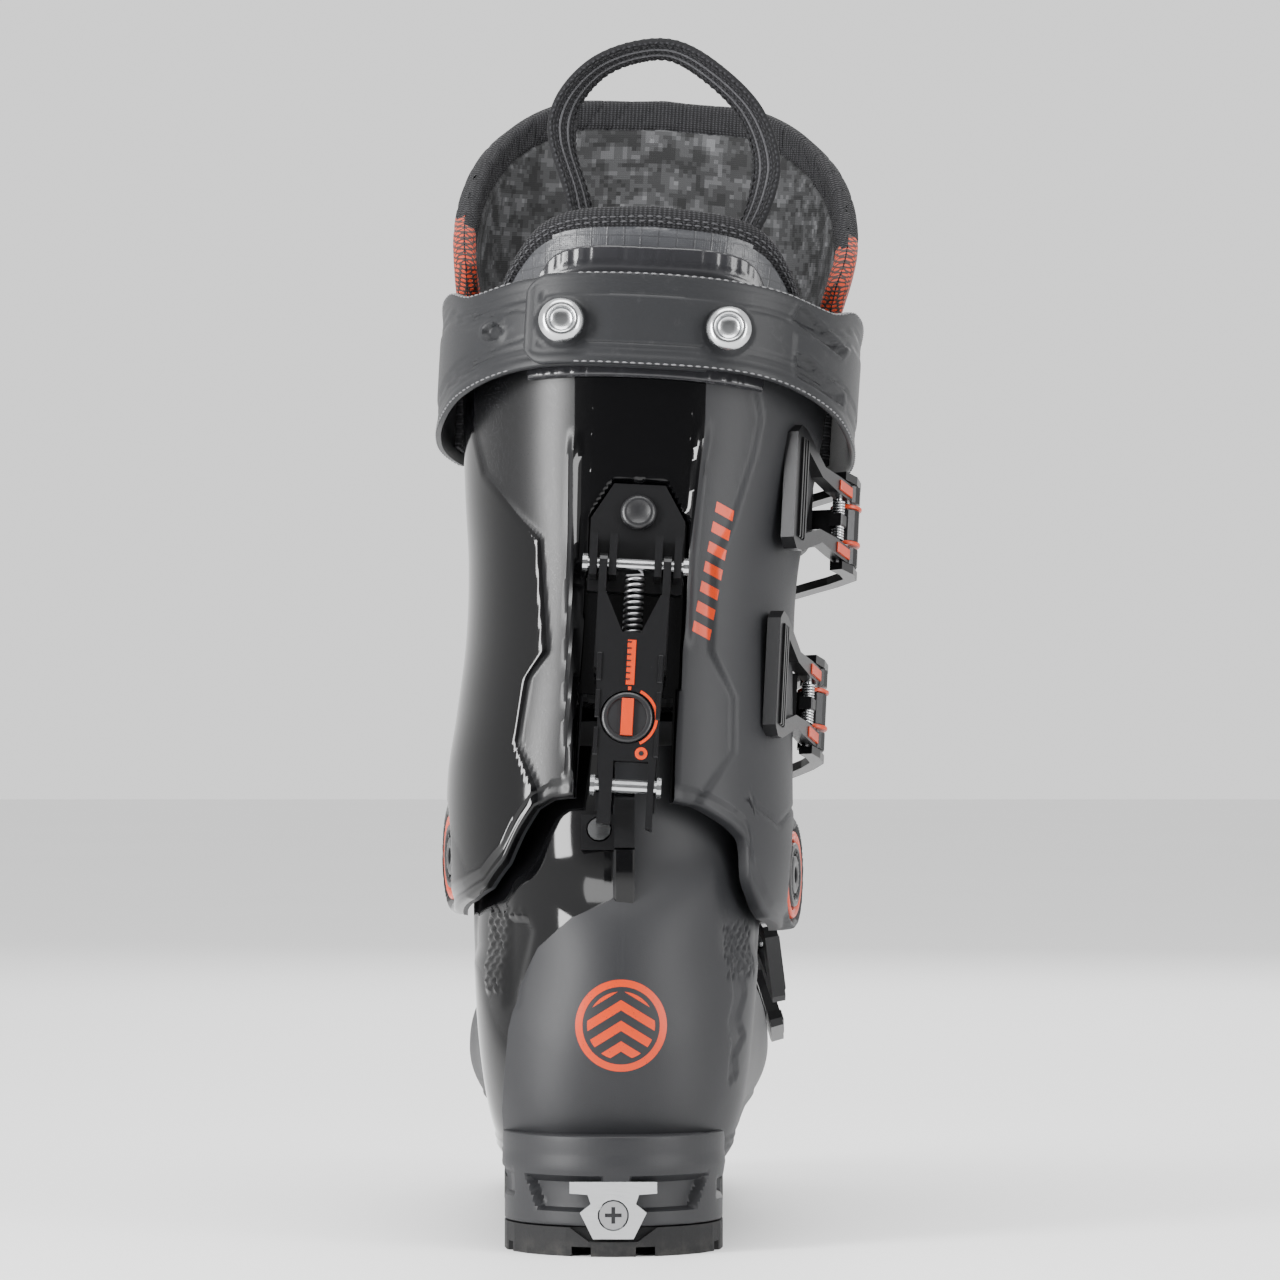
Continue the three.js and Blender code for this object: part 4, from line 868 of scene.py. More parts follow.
# ------------------------------------------------------------------ cuff
CUFF_LOW_OUTER = np.array([
    [0, 11], [22, 9.5], [36, 5], [42, 2.2], [44, 0.2], [46.5, -9], [49, -12.5], [57, -18.5], [64, -20.5], [90, -19],
    [110, -6], [135, 22], [165, 46], [215, 49],
])
CUFF_LOW_INNER = np.array([
    [0, 11], [20, 9.4], [26, 6.5], [32, -0.5], [39, -10], [50, -17], [64, -19], [90, -19],
    [110, -6], [135, 22], [165, 46], [215, 49],
])


def cuff_low(degrees):
    """Height of the cuff's lower edge, which is cut to corners behind and lower on the inner side."""
    size = np.abs(degrees)
    outer = np.interp(size, *CUFF_LOW_OUTER.T)
    inner = np.interp(size, *CUFF_LOW_INNER.T)
    return np.where(degrees > 0, outer, inner)


def cuff_columns():
    dense = np.linspace(INNER_FLAP_END, OUTER_FLAP_END, 1600)
    line = cuff_point(dense, 90, 0)
    arc = np.append(0, np.cumsum(np.linalg.norm(np.diff(line, axis=0), axis=1)))
    even_arc = np.arange(0, arc[-1], CELL)
    edge = [0.25, 0.6, 1.1, arc[-1] - 1.1, arc[-1] - 0.6, arc[-1] - 0.25, arc[-1]]
    degrees = np.interp(np.unique(np.append(even_arc, edge)), arc, dense)
    marks = []
    for x in (CHANNEL[0][0] + 0.2, CHANNEL[1][0] - 0.2):
        half = 53.5 if x < 0 else 56
        marks.append(math.degrees(math.asin((abs(x) / half) ** (CUFF_POWER / 2))) * (1 if x > 0 else -1))
    near = np.abs(degrees[:, None] - np.array(marks)).min(axis=1) < 0.42
    degrees = np.sort(np.concatenate([degrees[~near], marks, marks, [m + o for m in marks for o in (-0.4, 0.4)]]))
    low = cuff_low(degrees)
    open_columns = np.flatnonzero((degrees >= marks[0]) & (degrees <= marks[1]))[1:-1]
    low[open_columns] = WINDOW_TOP
    high = CUFF_HIGH(np.abs(degrees)).reshape(-1)
    return degrees, low, high


HINGE_AXIS = unit([110, 0, -6])
PIVOTS = (("inner_pivot", -1, 55.0), ("outer_pivot", 1, 56.4))  # side, distance along the hinge in mm
PIVOT_LEAN = math.radians(11)


def pivot_out(sign):
    """The way a pivot's round bed faces: to its side, leaning a little back."""
    return np.array([sign * math.cos(PIVOT_LEAN), -math.sin(PIVOT_LEAN), 0])


def pivot_relief(points, out, face):
    """Brings points near a pivot to its round bed: a flat rim with a recess for the cap."""
    gap = points - face
    depth = gap @ out
    rho = np.linalg.norm(gap - depth[..., None] * out, axis=-1)
    bed = np.where(rho < 14.8, -2.8, np.where(rho < 15.8, -0.8, 0.0))
    share = np.where((rho < 19.4) & (depth > -25), 1 - smoothstep(17.0, 19.4, rho), 0)
    return points + (share * (bed - depth))[..., None] * out


def build_cuff():
    degrees, low, high = cuff_columns()
    length = 160.0
    rim = np.array([0, 0.3, 0.7, 1.2])
    t = np.concatenate([rim, np.arange(2.0, length - 1.9, CELL), length - rim[::-1]]) / length
    d = np.broadcast_to(degrees, (len(t), len(degrees)))
    h = low + (high - low) * t[:, None]
    surface = cuff_point(d, h, 0)
    normal = normals_of(lambda u, v: cuff_point(u, v, 0), d, h)
    x, z = surface[..., 0], surface[..., 2]
    rear = (np.abs(d) < 100).astype(float)
    side_fade = rear * (1 - smoothstep(84, 100, np.abs(d)))

    low_edge = cuff_low(d)
    to_low = np.minimum(h - low_edge, 60)
    to_high = high - h
    ends = np.minimum(d - INNER_FLAP_END, OUTER_FLAP_END - d) * 1.02
    drop = rounding(np.minimum(np.minimum(h - low, to_high), ends), 1.5)

    medial = line_distance(x, z, MEDIAL_PANEL)
    lateral = line_distance(x, z, LATERAL_PANEL)
    relief = raised(-medial, 1.1) * side_fade * (x < 0) + raised(lateral, 1.1) * side_fade * (x > 0)
    medial_fin = np.abs(line_distance(x, z, MEDIAL_FIN))
    taper = smoothstep(262, 246, z) * smoothstep(146, 152, z)
    relief += rear * 2.3 * taper * (1 - smoothstep(0.4, 2.2, medial_fin))
    lateral_fin = np.abs(line_distance(x, z, LATERAL_FIN))
    taper = smoothstep(264, 254, z) * smoothstep(188, 196, z)
    relief += rear * 1.8 * taper * (1 - smoothstep(0.4, 2.4, lateral_fin))
    round_back = smoothstep(13, 17, np.abs(d)) * (1 - smoothstep(92, 104, np.abs(d)))
    relief -= 0.9 * smoothstep(4.9, 4.1, to_low) * round_back
    relief += rear * groove(line_distance(x, z, CHECK_MARK), 0.9, 0.8) * (x > 0)
    seam = (np.abs(d) > 112) & (np.abs(d) < 172)
    relief += np.where(seam, groove(np.minimum(np.abs(to_low - 8.5), np.abs(to_high - 8.5)), 0.9, 0.7), 0)
    relief += np.where(seam, raised(8.0 - to_high, 0.8), 0)

    points = surface + normal * (relief - drop)[..., None]
    leg_x, _, leg_h = in_leg(points)
    channel = outline_distance(leg_x, leg_h, CHANNEL)
    channel = np.where(np.abs(d) < 60, channel, 50)
    inside = channel < 0.05
    floor = leg(leg_x, np.full_like(leg_x, FLOOR_Y), leg_h)
    lip = -0.9 * np.clip(1 - channel / 1.6, 0, 1) ** 2 * (channel > 0)
    points = np.where(inside[..., None], floor, points + normal * lip[..., None])
    for _, sign, distance in PIVOTS:
        points = pivot_relief(points, pivot_out(sign), ANKLE + sign * distance * HINGE_AXIS)

    gloss = -line_distance(x, z, CUFF_GLOSS)
    gloss = np.where(d > 92, -5, np.where(d < -88, 5, gloss))
    gloss = np.where(inside, 5, np.clip(gloss, -5, 5))
    flake = np.minimum(np.minimum(medial, 60), np.minimum(-12.5 - x, 60))
    flake = np.where((np.abs(d) < 70) & (x < 0), np.clip(-np.abs(flake) * np.sign(-flake), -5, 5), -5)
    thin = leg(leg_x, np.full_like(leg_x, FLOOR_Y + 1.3), leg_h)
    inner = np.where(inside[..., None], thin, cuff_point(d, h, 4.3))
    all_points, faces, half = closed_sheet(points, inner, 6)
    pad = len(all_points) - half
    values = {
        "gloss": np.append(gloss.ravel(), np.full(pad, -5)),
        "flake": np.append(flake.ravel(), np.full(pad, -5)),
    }
    make("cuff_body", all_points, faces, CUFF_PLASTIC, "cuff", "gloss_shell", ["cuff_shell"], values, sharp=42)


build_cuff()


# ------------------------------------------------------------------ lower shell
def shell_relief(points):
    x, y, z = np.moveaxis(points, -1, 0)
    rear = y < 22
    relief = np.zeros(np.shape(x))
    relief += np.where(rear, groove(np.abs(x - 2.1), 0.35, 0.25), 0)
    for lift in (0, 2.0):
        ledge = 28.8 - lift + 5.6 * (x / 37) ** 2
        relief += np.where(y < 40, raised(ledge - z, 0.55, 0.3), 0)
    recess = smoothstep(2.6, -0.8, outline_distance(x, z, SIDE_RECESS))
    relief -= np.where(rear, 1.0 * recess, 0)
    relief += np.where(rear & (x > 0), -0.9 * smoothstep(0.4, -0.4, outline_distance(x, z, LATERAL_CARVING)), 0)
    for x0, x1, z0, z1, pitch, size, height in (
        (35.4, 44.8, 84.9, 102.4, 2.1, 0.62, -0.7), (-40.6, -28.2, 80.6, 106.7, 2.3, 0.7, 0.7),
    ):
        row = np.floor((z - z0) / pitch)
        u = np.mod(x - x0 + 0.5 * pitch * np.mod(row, 2), pitch) - pitch / 2
        v = np.mod(z - z0, pitch) - pitch / 2
        within = (x > x0) & (x < x1) & (z > z0) & (z < z1) & (y < 34)
        dot = height * (1 - smoothstep(size * 0.7, size * 1.35, np.hypot(u, v))) * (1 - recess * (y < 22))
        relief += np.where(within, dot, 0)
    crease = 62 + 26 * np.sin((y - 60) / 88)
    flank = (y > 40) & (y < 236)
    relief += np.where(flank, raised(crease - z, 1.0, 1.1) * smoothstep(40, 62, y) * smoothstep(236, 214, y), 0)
    # a shallow dish behind each pivot leaves room for the cuff's lower edge when it leans back
    dish = smoothstep(31, 38, np.abs(x)) * smoothstep(-22, -10, y) * smoothstep(26, 16, y)
    dish *= smoothstep(88, 95, z) * smoothstep(126, 112, z)
    relief -= np.where(x > 0, 1.7, 1.3) * dish
    low_crease = 33 + 6 * np.sin((y - 30) / 60)
    relief += np.where(flank, raised(low_crease - z, 0.8, 0.8) * smoothstep(40, 62, y) * smoothstep(250, 230, y), 0)
    return relief


def build_shell():
    places = np.concatenate([[0, 0.01, 0.03, 0.06], np.linspace(0.1, SHELL_END, 296)])
    columns = 310
    degrees = np.linspace(0, 360, columns, endpoint=False) - 60
    p, d = np.meshgrid(places, degrees, indexing="ij")
    surface = shell_point(p, d, 0)
    eps = 0.02
    round_it = shell_point(p, d + 0.4, 0) - shell_point(p, d - 0.4, 0)
    along = shell_point(np.clip(p + eps, 0, SHELL_END), d, 0) - shell_point(np.clip(p - eps, 0, SHELL_END), d, 0)
    normal = unit(np.cross(round_it, along))
    centre = surface.mean(axis=1, keepdims=True)
    normal *= np.sign((normal * (surface - centre)).sum(-1, keepdims=True).mean())
    low, high = FLAP_PLACES
    turned = np.mod(d, 360)
    inside_flap = np.minimum(
        np.minimum(p - low, high - p) * 16,
        np.minimum(turned - FLAP_DEGREES[0], FLAP_DEGREES[1] - turned) * 0.8,
    )
    flap = FLAP_RAISED * smoothstep(-0.4, 0.4, inside_flap)
    flap += groove(np.abs(inside_flap - 3.2), 0.8, 0.6) * (inside_flap > 0)
    relief = shell_relief(surface)
    drop = rounding(np.linalg.norm(surface - surface[:1], axis=-1), 1.4)
    points = surface + normal * (relief + flap - drop)[..., None]
    points[..., 2] = np.maximum(points[..., 2], 9.4)
    x, y, z = np.moveaxis(surface, -1, 0)
    gloss = line_distance(x, z, SHELL_GLOSS)
    flank = np.where(x < 0, np.clip((82 + 0.35 * z - y) / 4, -5, 5), -5)
    gloss = np.where(y > 36, flank, np.clip(-gloss, -5, 5))
    inner_columns = np.arange(0, columns, 5)
    inner_rows = np.arange(0, len(places), 8)
    inner = shell_point(p, d, WALL)[np.ix_(inner_rows, inner_columns)]
    outer_points = points.reshape(-1, 3)
    count = len(outer_points)
    faces = list(quads(len(places), columns, wrap=True))
    inner_faces = quads(len(inner_rows), len(inner_columns), wrap=True, first=count)[:, ::-1]
    faces += list(inner_faces)
    for k, column in enumerate(inner_columns):
        after = (k + 1) % len(inner_columns)
        edge = [(column + n) % columns for n in range(6)]
        faces.append([count + k, count + after, *edge[::-1]])
    nose = surface[-1].mean(axis=0)
    tip = count + len(inner_rows) * len(inner_columns)
    last = (len(places) - 1) * columns
    cap_rings = []
    for share, forward in ((0.94, 1.7), (0.8, 3.0), (0.5, 4.1), (0.2, 4.5), (0.03, 4.6)):
        cap_rings.append(nose + (points[-1] - nose) * share + [0, forward, 0])
    all_points = np.concatenate([outer_points, inner.reshape(-1, 3), *cap_rings])
    previous = last
    for n in range(len(cap_rings)):
        first = tip + n * columns
        for j in range(columns):
            k = (j + 1) % columns
            faces.append([previous + j, previous + k, first + k, first + j])
        previous = first
    faces.append([previous + j for j in range(columns)])
    inner_last = count + (len(inner_rows) - 1) * len(inner_columns)
    faces.append([inner_last + j for j in range(len(inner_columns))][::-1])
    pad = len(all_points) - count
    gloss = np.append(gloss.ravel(), np.full(pad, -5.0))
    values = {"gloss": gloss, "flake": np.full(len(all_points), -5.0)}
    make("shell_body", all_points, faces, SHELL_PLASTIC, "shell", "matte_shell", ["lower_shell"], values, sharp=42)


build_shell()


# ------------------------------------------------------------------ sole of the shell, with its heel and toe lugs
LUG_RADIUS = 34.5
HEEL_CENTRE_Y = -10.5
HEEL_WINDOW = [(9.6, 14.6), (4.6, 14), (4.6, 24), (19.5, 24), (28, 24), (24.6, 14.6)]


def sole_lug():
    a = np.linspace(-1.5, 1.5, 41)
    heel = np.stack([LUG_RADIUS * np.sin(a), HEEL_CENTRE_Y - LUG_RADIUS * np.cos(a)], -1)
    toe = np.stack([34.5 * np.sin(a), 235.5 + 34.5 * np.cos(a)], -1)[::-1]
    outer_side = smooth_path([heel[-1], (32.5, 55), (34.5, 115), (36.8, 170), toe[0]], 2.4)[1:-1]
    inner_side = smooth_path([toe[-1], (-38.5, 180), (-35, 120), (-31, 65), heel[0]], 2.4)[1:-1]
    outline = np.concatenate([heel, outer_side, toe, inner_side])
    outline = even(np.append(outline, outline[:1], axis=0), 0.9)[:-1]
    outward = unit(np.roll(outline, -1, axis=0) - np.roll(outline, 1, axis=0))
    outward = np.stack([outward[:, 1], -outward[:, 0]], -1)
    if (outward * (outline - outline.mean(axis=0))).sum() < 0:
        outward = -outward
    skirt = 1 - smoothstep(46, 66, outline[:, 1])
    top = 21 + 16.5 * skirt + 2 * smoothstep(234, 236, outline[:, 1])
    rings = []
    heights = np.concatenate([[0, 0.12, 0.35], np.linspace(0.8, 19.8, 24), [20.3, 20.55, 20.6]]) / 20.6
    for t in heights:
        z = 9.4 + (top - 9.4) * t
        edge = np.minimum(z - 9.4, top - z)
        inset = rounding(edge, 0.8)
        x, y = outline[:, 0], outline[:, 1]
        window = outline_distance(np.abs(x - 1), z, HEEL_WINDOW)
        cut = np.where((y < -10) & (np.abs(x) < 33), 3.2 * smoothstep(0.5, -0.5, window), 0)
        for x0, x1, z0, z1 in ((-34.4, -31.3, 17.9, 25.1), (32.6, 34.8, 16.7, 22.6)):
            slot = np.maximum(np.maximum(x0 - x, x - x1), np.maximum(z0 - z, z - z1))
            cut = np.maximum(cut, np.where(y < 5, 2.0 * smoothstep(0.4, -0.4, slot), 0))
        stripe = np.where((y > 62) & (y < 205), 0.9 * smoothstep(0.5, -0.2, np.abs(np.mod(y, 7) - 3.5) - 1.2), 0)
        flare = 1.6 * skirt * smoothstep(20, 34, z)
        ledge = 0.5 * skirt * (smoothstep(28.2, 28.8, z + 0 * x) + smoothstep(30.4, 31, z + 0 * x))
        flat = outline - outward * (inset + cut + stripe - flare + ledge)[:, None]
        rings.append(np.column_stack([flat, z]))
    points, faces = tube(np.array(rings))
    count = len(points)
    values = {"gloss": np.full(count, -5.0), "flake": np.full(count, -5.0)}
    make("shell_sole", points, faces, SHELL_PLASTIC, "shell", "matte_shell", values=values, sharp=35)


sole_lug()


def rib_arc():
    angles = np.radians(np.linspace(-18, 6.4, 60))
    x0, x1 = RIB_X
    rings = []
    for t in angles:
        b = ANKLE + RIB_RADIUS * np.array([0, -math.cos(t), math.sin(t)])
        n = ANKLE + (RIB_RADIUS - 9) * np.array([0, -math.cos(t), math.sin(t)])
        rings.append([
            (x0, n[1], n[2]), (x0, b[1] + 0.6, b[2]), (x0 + 0.6, b[1], b[2]),
            (x1 - 0.6, b[1], b[2]), (x1, b[1] + 0.6, b[2]), (x1, n[1], n[2]),
        ])
    points, faces = tube(np.array(rings))
    values = {"gloss": np.full(len(points), 5.0), "flake": np.full(len(points), -5.0)}
    make("walk_rib", points, faces, SHELL_PLASTIC, "shell", "matte_shell", values=values, sharp=30)


rib_arc()


# ------------------------------------------------------------------ sheets round the leg
def leg_panel(sections, degrees, low, high, outset, inset, relief=None, edge=1.0, cell=1.0, shape=None):
    """Both faces of a sheet round the leg, with rounded edges.

    relief(along, h, to_edge, degrees, outer) lifts the outer face.
    """
    dense = np.linspace(*degrees, 900)
    middle = 0.5 * (np.max(low(dense)) + np.min(high(dense)))
    line = tube_point(sections, dense, middle, outset)
    arc = np.append(0, np.cumsum(np.linalg.norm(np.diff(line, axis=0), axis=1)))
    along = np.unique(np.concatenate([
        np.arange(edge, arc[-1] - edge, cell), [0, 0.2, 0.5, 0.8], arc[-1] - np.array([0.8, 0.5, 0.2, 0]),
    ]))
    d = np.interp(along, arc, dense)
    span = float(np.max(high(d) - low(d)))
    rim = np.array([0, 0.2, 0.5, 0.8])
    t = np.unique(np.concatenate([rim, np.arange(1.2, span - 1.1, cell), span - rim[::-1]])) / span
    low_h, high_h = low(d), high(d)
    h = low_h + (high_h - low_h) * t[:, None]
    dd = np.broadcast_to(d, h.shape)
    s = np.broadcast_to(along, h.shape)
    to_edge = np.minimum(np.minimum(h - low_h, high_h - h), np.minimum(s, arc[-1] - s))
    if shape is not None:
        h, to_edge = shape(s, h, low_h, high_h, arc[-1], to_edge)
    thickness = inset - outset
    drop = rounding(to_edge, min(edge, thickness / 2))
    normal = normals_of(lambda u, v: tube_point(sections, u, v, outset), dd, h)
    outer = tube_point(sections, dd, h, outset)
    lift = relief(s, h, to_edge, dd, outer) if relief is not None else 0
    outer = outer + normal * (lift - drop)[..., None]
    inner = tube_point(sections, dd, h, inset) + normal * drop[..., None]
    return outer, inner, s, h, to_edge, dd


def rounded_end(at_end, radius):
    """Pulls a band's corners in so that its free end is round."""
    def shape(s, h, low_h, high_h, length, to_edge):
        gap = length - s if at_end else s
        pull = radius - np.sqrt(np.maximum(radius**2 - np.clip(radius - gap, 0, radius) ** 2, 0))
        middle = 0.5 * (low_h + high_h)
        half = 0.5 * (high_h - low_h)
        return middle + (h - middle) * (half - pull) / half, to_edge
    return shape


def cell_means(field):
    """The mean of each face's four corners, in the order of the faces."""
    return 0.25 * (field[:-1, :-1] + field[1:, :-1] + field[:-1, 1:] + field[1:, 1:]).ravel()


def mirrored(curve):
    """A height that is the same on both sides of the back, as a function of degrees."""
    return lambda degrees: curve(np.abs(degrees)).reshape(np.shape(degrees))


def panel_mesh(name, panel, material, body, slot, replaces=(), skip=6, sharp=60):
    outer, inner, s, h, _, _ = panel
    points, faces, _ = closed_sheet(outer, inner, skip)
    kept = np.unique(np.append(np.arange(0, outer.shape[0], skip), outer.shape[0] - 1))
    uv = np.stack([np.append(s.ravel(), s[kept].ravel()), np.append(h.ravel(), h[kept].ravel())], -1)
    return make(name, points, faces, material, body, slot, replaces, uv=uv, sharp=sharp)


def stitches(path, normal, length=2.6, gap=1.1, radius=0.38):
    """A row of thread stitches along a path: short pills half sunk in the surface."""
    arc = np.append(0, np.cumsum(np.linalg.norm(np.diff(path, axis=0), axis=1)))
    bow = [[share * length, 0, lift] for share, lift in ((-0.5, 0), (-0.25, 0.16), (0, 0.22), (0.25, 0.16), (0.5, 0))]
    template = sweep(bow, round_section(radius, 6), (0, 0, 1), scale=[0.35, 1, 1, 1, 0.35])
    places = []
    for at in np.arange(length, arc[-1] - length, length + gap):
        origin = np.array([np.interp(at, arc, path[:, k]) for k in range(3)])
        ahead = np.array([np.interp(at + 0.8, arc, path[:, k]) for k in range(3)])
        n = unit(np.array([np.interp(at, arc, normal[:, k]) for k in range(3)]))
        x = unit(ahead - origin)
        y = unit(np.cross(n, x))
        places.append((origin, x, y, np.cross(x, y)))
    return copies(template, places)


def row_path(panel, gap, top=True, step=1):
    """A line on a panel's outer face at a distance from its top or lower edge, with the face's normals."""
    outer, inner, _, h, _, _ = panel
    rows = outer.shape[0]
    height = h[-1] - h[0]
    t = (height - gap) / height if top else gap / height
    index = np.clip(t * (rows - 1), 0, rows - 1.001)
    low = index.astype(int)
    share = (index - low)[:, None]
    columns = np.arange(outer.shape[1])
    path = outer[low, columns] * (1 - share) + outer[low + 1, columns] * share
    normal = unit(path - (inner[low, columns] * (1 - share) + inner[low + 1, columns] * share))
    return path[::step], normal[::step]


# ------------------------------------------------------------------ power strap
band_low = mirrored(BAND_LOW)
band_high = mirrored(BAND_HIGH)


def strap_relief(slots=(), hole=None, flat=()):
    def relief(s, h, to_edge, d, outer):
        lift = 0.35 * smoothstep(3.2, 2.6, to_edge)
        for ring in (6.0, 7.2):
            lift = lift + groove(to_edge - ring, 0.55, 0.5)
        wave = np.abs(to_edge - 10.2 - 1.6 * np.sin(s / 17))
        lift = lift + groove(wave, 0.6, 0.45) * (np.abs(d) > 24)
        lift = lift + 0.45 * smoothstep(10.5, 12.5, to_edge) * (np.abs(d) > 40)
        x, z = outer[..., 0], outer[..., 2]
        for slot in slots:
            lift = lift - 1.7 * smoothstep(0.4, -0.4, outline_distance(x, z, slot)) * (np.abs(d) < 118)
            lift = lift + 0.3 * smoothstep(1.6, 1.0, np.abs(outline_distance(x, z, slot))) * (np.abs(d) < 118)
        if hole is not None:
            gap = np.hypot(x - hole[0], z - hole[1])
            lift = lift - 1.8 * smoothstep(2.9, 2.3, gap) * (np.abs(d) < 100)
            lift = lift + 0.4 * smoothstep(4.4, 3.8, gap) * smoothstep(2.4, 3.0, gap) * (np.abs(d) < 100)
        for cx, cz in flat:
            gap = np.hypot(x - cx, z - cz)
            seat = 1 - smoothstep(8.6, 9.6, gap)
            lift = lift * (1 - seat) - 0.55 * (1 - smoothstep(7.4, 8.2, gap))
        return lift
    return relief


LATERAL_SLOTS = [
    [(60, 299), (74.6, 285.2), (73, 283.2), (57.5, 294.3)],
    [(58.5, 283), (61.8, 282), (73.6, 271), (73.7, 267.5), (58.8, 275.9)],
]
RIVET_X = (-27, 26.2)
RIVET_H = 160
RIVET_PLACES = [leg(x, -STRAP(RIVET_H)[2], RIVET_H) for x in RIVET_X]
rivet_faces = [(p[0], p[2]) for p in RIVET_PLACES]

inner_panel = leg_panel(STRAP, (-118, 14), band_low, band_high, BAND + 0.4, 2 * BAND + 0.4,
                        strap_relief(hole=(-38.8, 290.5)), edge=1.0)
panel_mesh("strap_inner_half", inner_panel, STRAP_RUBBER, "cuff", "strap_rubber", ["strap_band_inner"])
outer_panel = leg_panel(STRAP, (-30, 118), band_low, band_high, 0, BAND,
                        strap_relief(slots=LATERAL_SLOTS, flat=rivet_faces), edge=1.0, shape=rounded_end(False, 8))
panel_mesh("strap_outer_half", outer_panel, STRAP_RUBBER, "cuff", "strap_rubber", ["strap_band_outer"])
rows = []
for panel, where in ((inner_panel, (0.0, 0.62)), (outer_panel, (0.1, 1.0))):
    for top in (True, False):
        path, normal = row_path(panel, 1.6, top)
        first, last = (int(share * len(path)) for share in where)
        rows.append(stitches(path[first:last], normal[first:last], 1.7, 0.9, 0.26))
make("strap_stitches", *joined(rows), THREAD, "cuff", "strap_rubber")

for name, x in zip(("strap_rivet_inner", "strap_rivet_outer"), RIVET_X):
    profile = [
        (0.05, -0.4), (7.0, -0.4), (7.35, 0.0), (7.3, 0.7), (6.7, 1.9), (5.7, 2.75), (4.9, 3.05),
        (4.3, 2.9), (3.95, 2.2), (3.7, 1.2), (3.2, 0.75), (1.5, 0.6), (0.05, 0.6),
    ]
    base = leg(x, -STRAP(RIVET_H)[2] - 1.4 + 0.2, RIVET_H)
    make(name + "_cap", *lathe(profile, base, BACK, 64), STEEL, "cuff", "steel", [name], sharp=50)

web_panel = leg_panel(STRAP, (106, 254), lambda d: np.full(np.shape(d), 142.0), lambda d: np.full(np.shape(d), 182.0),
                      2 * BAND + 1, 2 * BAND + 3.6,
                      lambda s, h, e, d, o: 0.25 * np.sin(s * 2 * math.pi / 2.4) * smoothstep(0.6, 1.6, e)
                      + 0.35 * smoothstep(2.4, 1.8, e))
panel_mesh("power_strap_webbing", web_panel, WEBBING, "cuff", "strap_webbing", ["power_strap"])


# ------------------------------------------------------------------ spoiler
def spoiler_relief(s, h, to_edge, d, outer):
    tick = (np.mod(s, 5.2) < 0.8) & (to_edge < 5.5)
    return -0.35 * tick + groove(np.abs(to_edge - 6.2), 0.6, 0.5) - 0.5 * smoothstep(8.0, 10.5, to_edge) * (h > 160)


spoiler_panel = leg_panel(CUFF, (-35, 36), lambda d: np.full(np.shape(d), 146.0),
                          lambda d: SPOILER_TOP(d).reshape(np.shape(d)), -2.6, -0.4, spoiler_relief, edge=0.9)
panel_mesh("spoiler", spoiler_panel, SPOILER_PLASTIC, "cuff", "dark_plastic", ["rear_spoiler"])


# ------------------------------------------------------------------ liner, foot bed, tongue and loop
liner_top = mirrored(LINER_TOP)
liner_low = mirrored(LINER_LOW)


def liner_relief(s, h, to_edge, d, outer):
    """Foam under cloth: soft folds, a sunk seam inside a fat binding, and a quilted panel line."""
    top = liner_top(d) - h
    puff = 0.5 * np.sin(s / 9.5 + 1.3 * np.sin(h / 11)) * np.sin(h / 13 + 0.7) * smoothstep(8, 14, to_edge)
    seam = groove(np.abs(top - 7.6), 1.3, 1.1)
    second = groove(np.abs(top - 21), 1.1, 0.9) * (np.abs(d) < 42)
    return puff + seam + second - 0.5 * smoothstep(7.6, 9.5, to_edge)


liner_panel = leg_panel(LINER, (-122, 122), liner_low, liner_top, 0.5, 8, liner_relief, edge=3.4, cell=1.3)
liner = panel_mesh("liner_upper", liner_panel, RIPSTOP, "cuff", "liner_fabric", ["liner_cuff"], skip=3)
liner.data.materials.append(LINING)
liner.data.materials.append(KNIT)
outer_count = (liner_panel[0].shape[0] - 1) * (liner_panel[0].shape[1] - 1)
for polygon in liner.data.polygons[outer_count:]:
    polygon.material_index = 1
gap_to_edge = liner_panel[4]
for index, gap in enumerate(cell_means(gap_to_edge)):
    if gap < 7.6:
        liner.data.polygons[index].material_index = 2


def tongue_grid(inset, columns, rows):
    s = np.linspace(-1, 1, columns)
    t = np.linspace(0, 1, rows)
    top = TONGUE_TOP(np.abs(s)).reshape(-1)
    h = TONGUE_LOW + (top - TONGUE_LOW) * t[:, None]
    reach = TONGUE_REACH(h).reshape(h.shape)
    degrees = 180 + s * reach
    return tube_point(TONGUE, degrees, h, inset), h


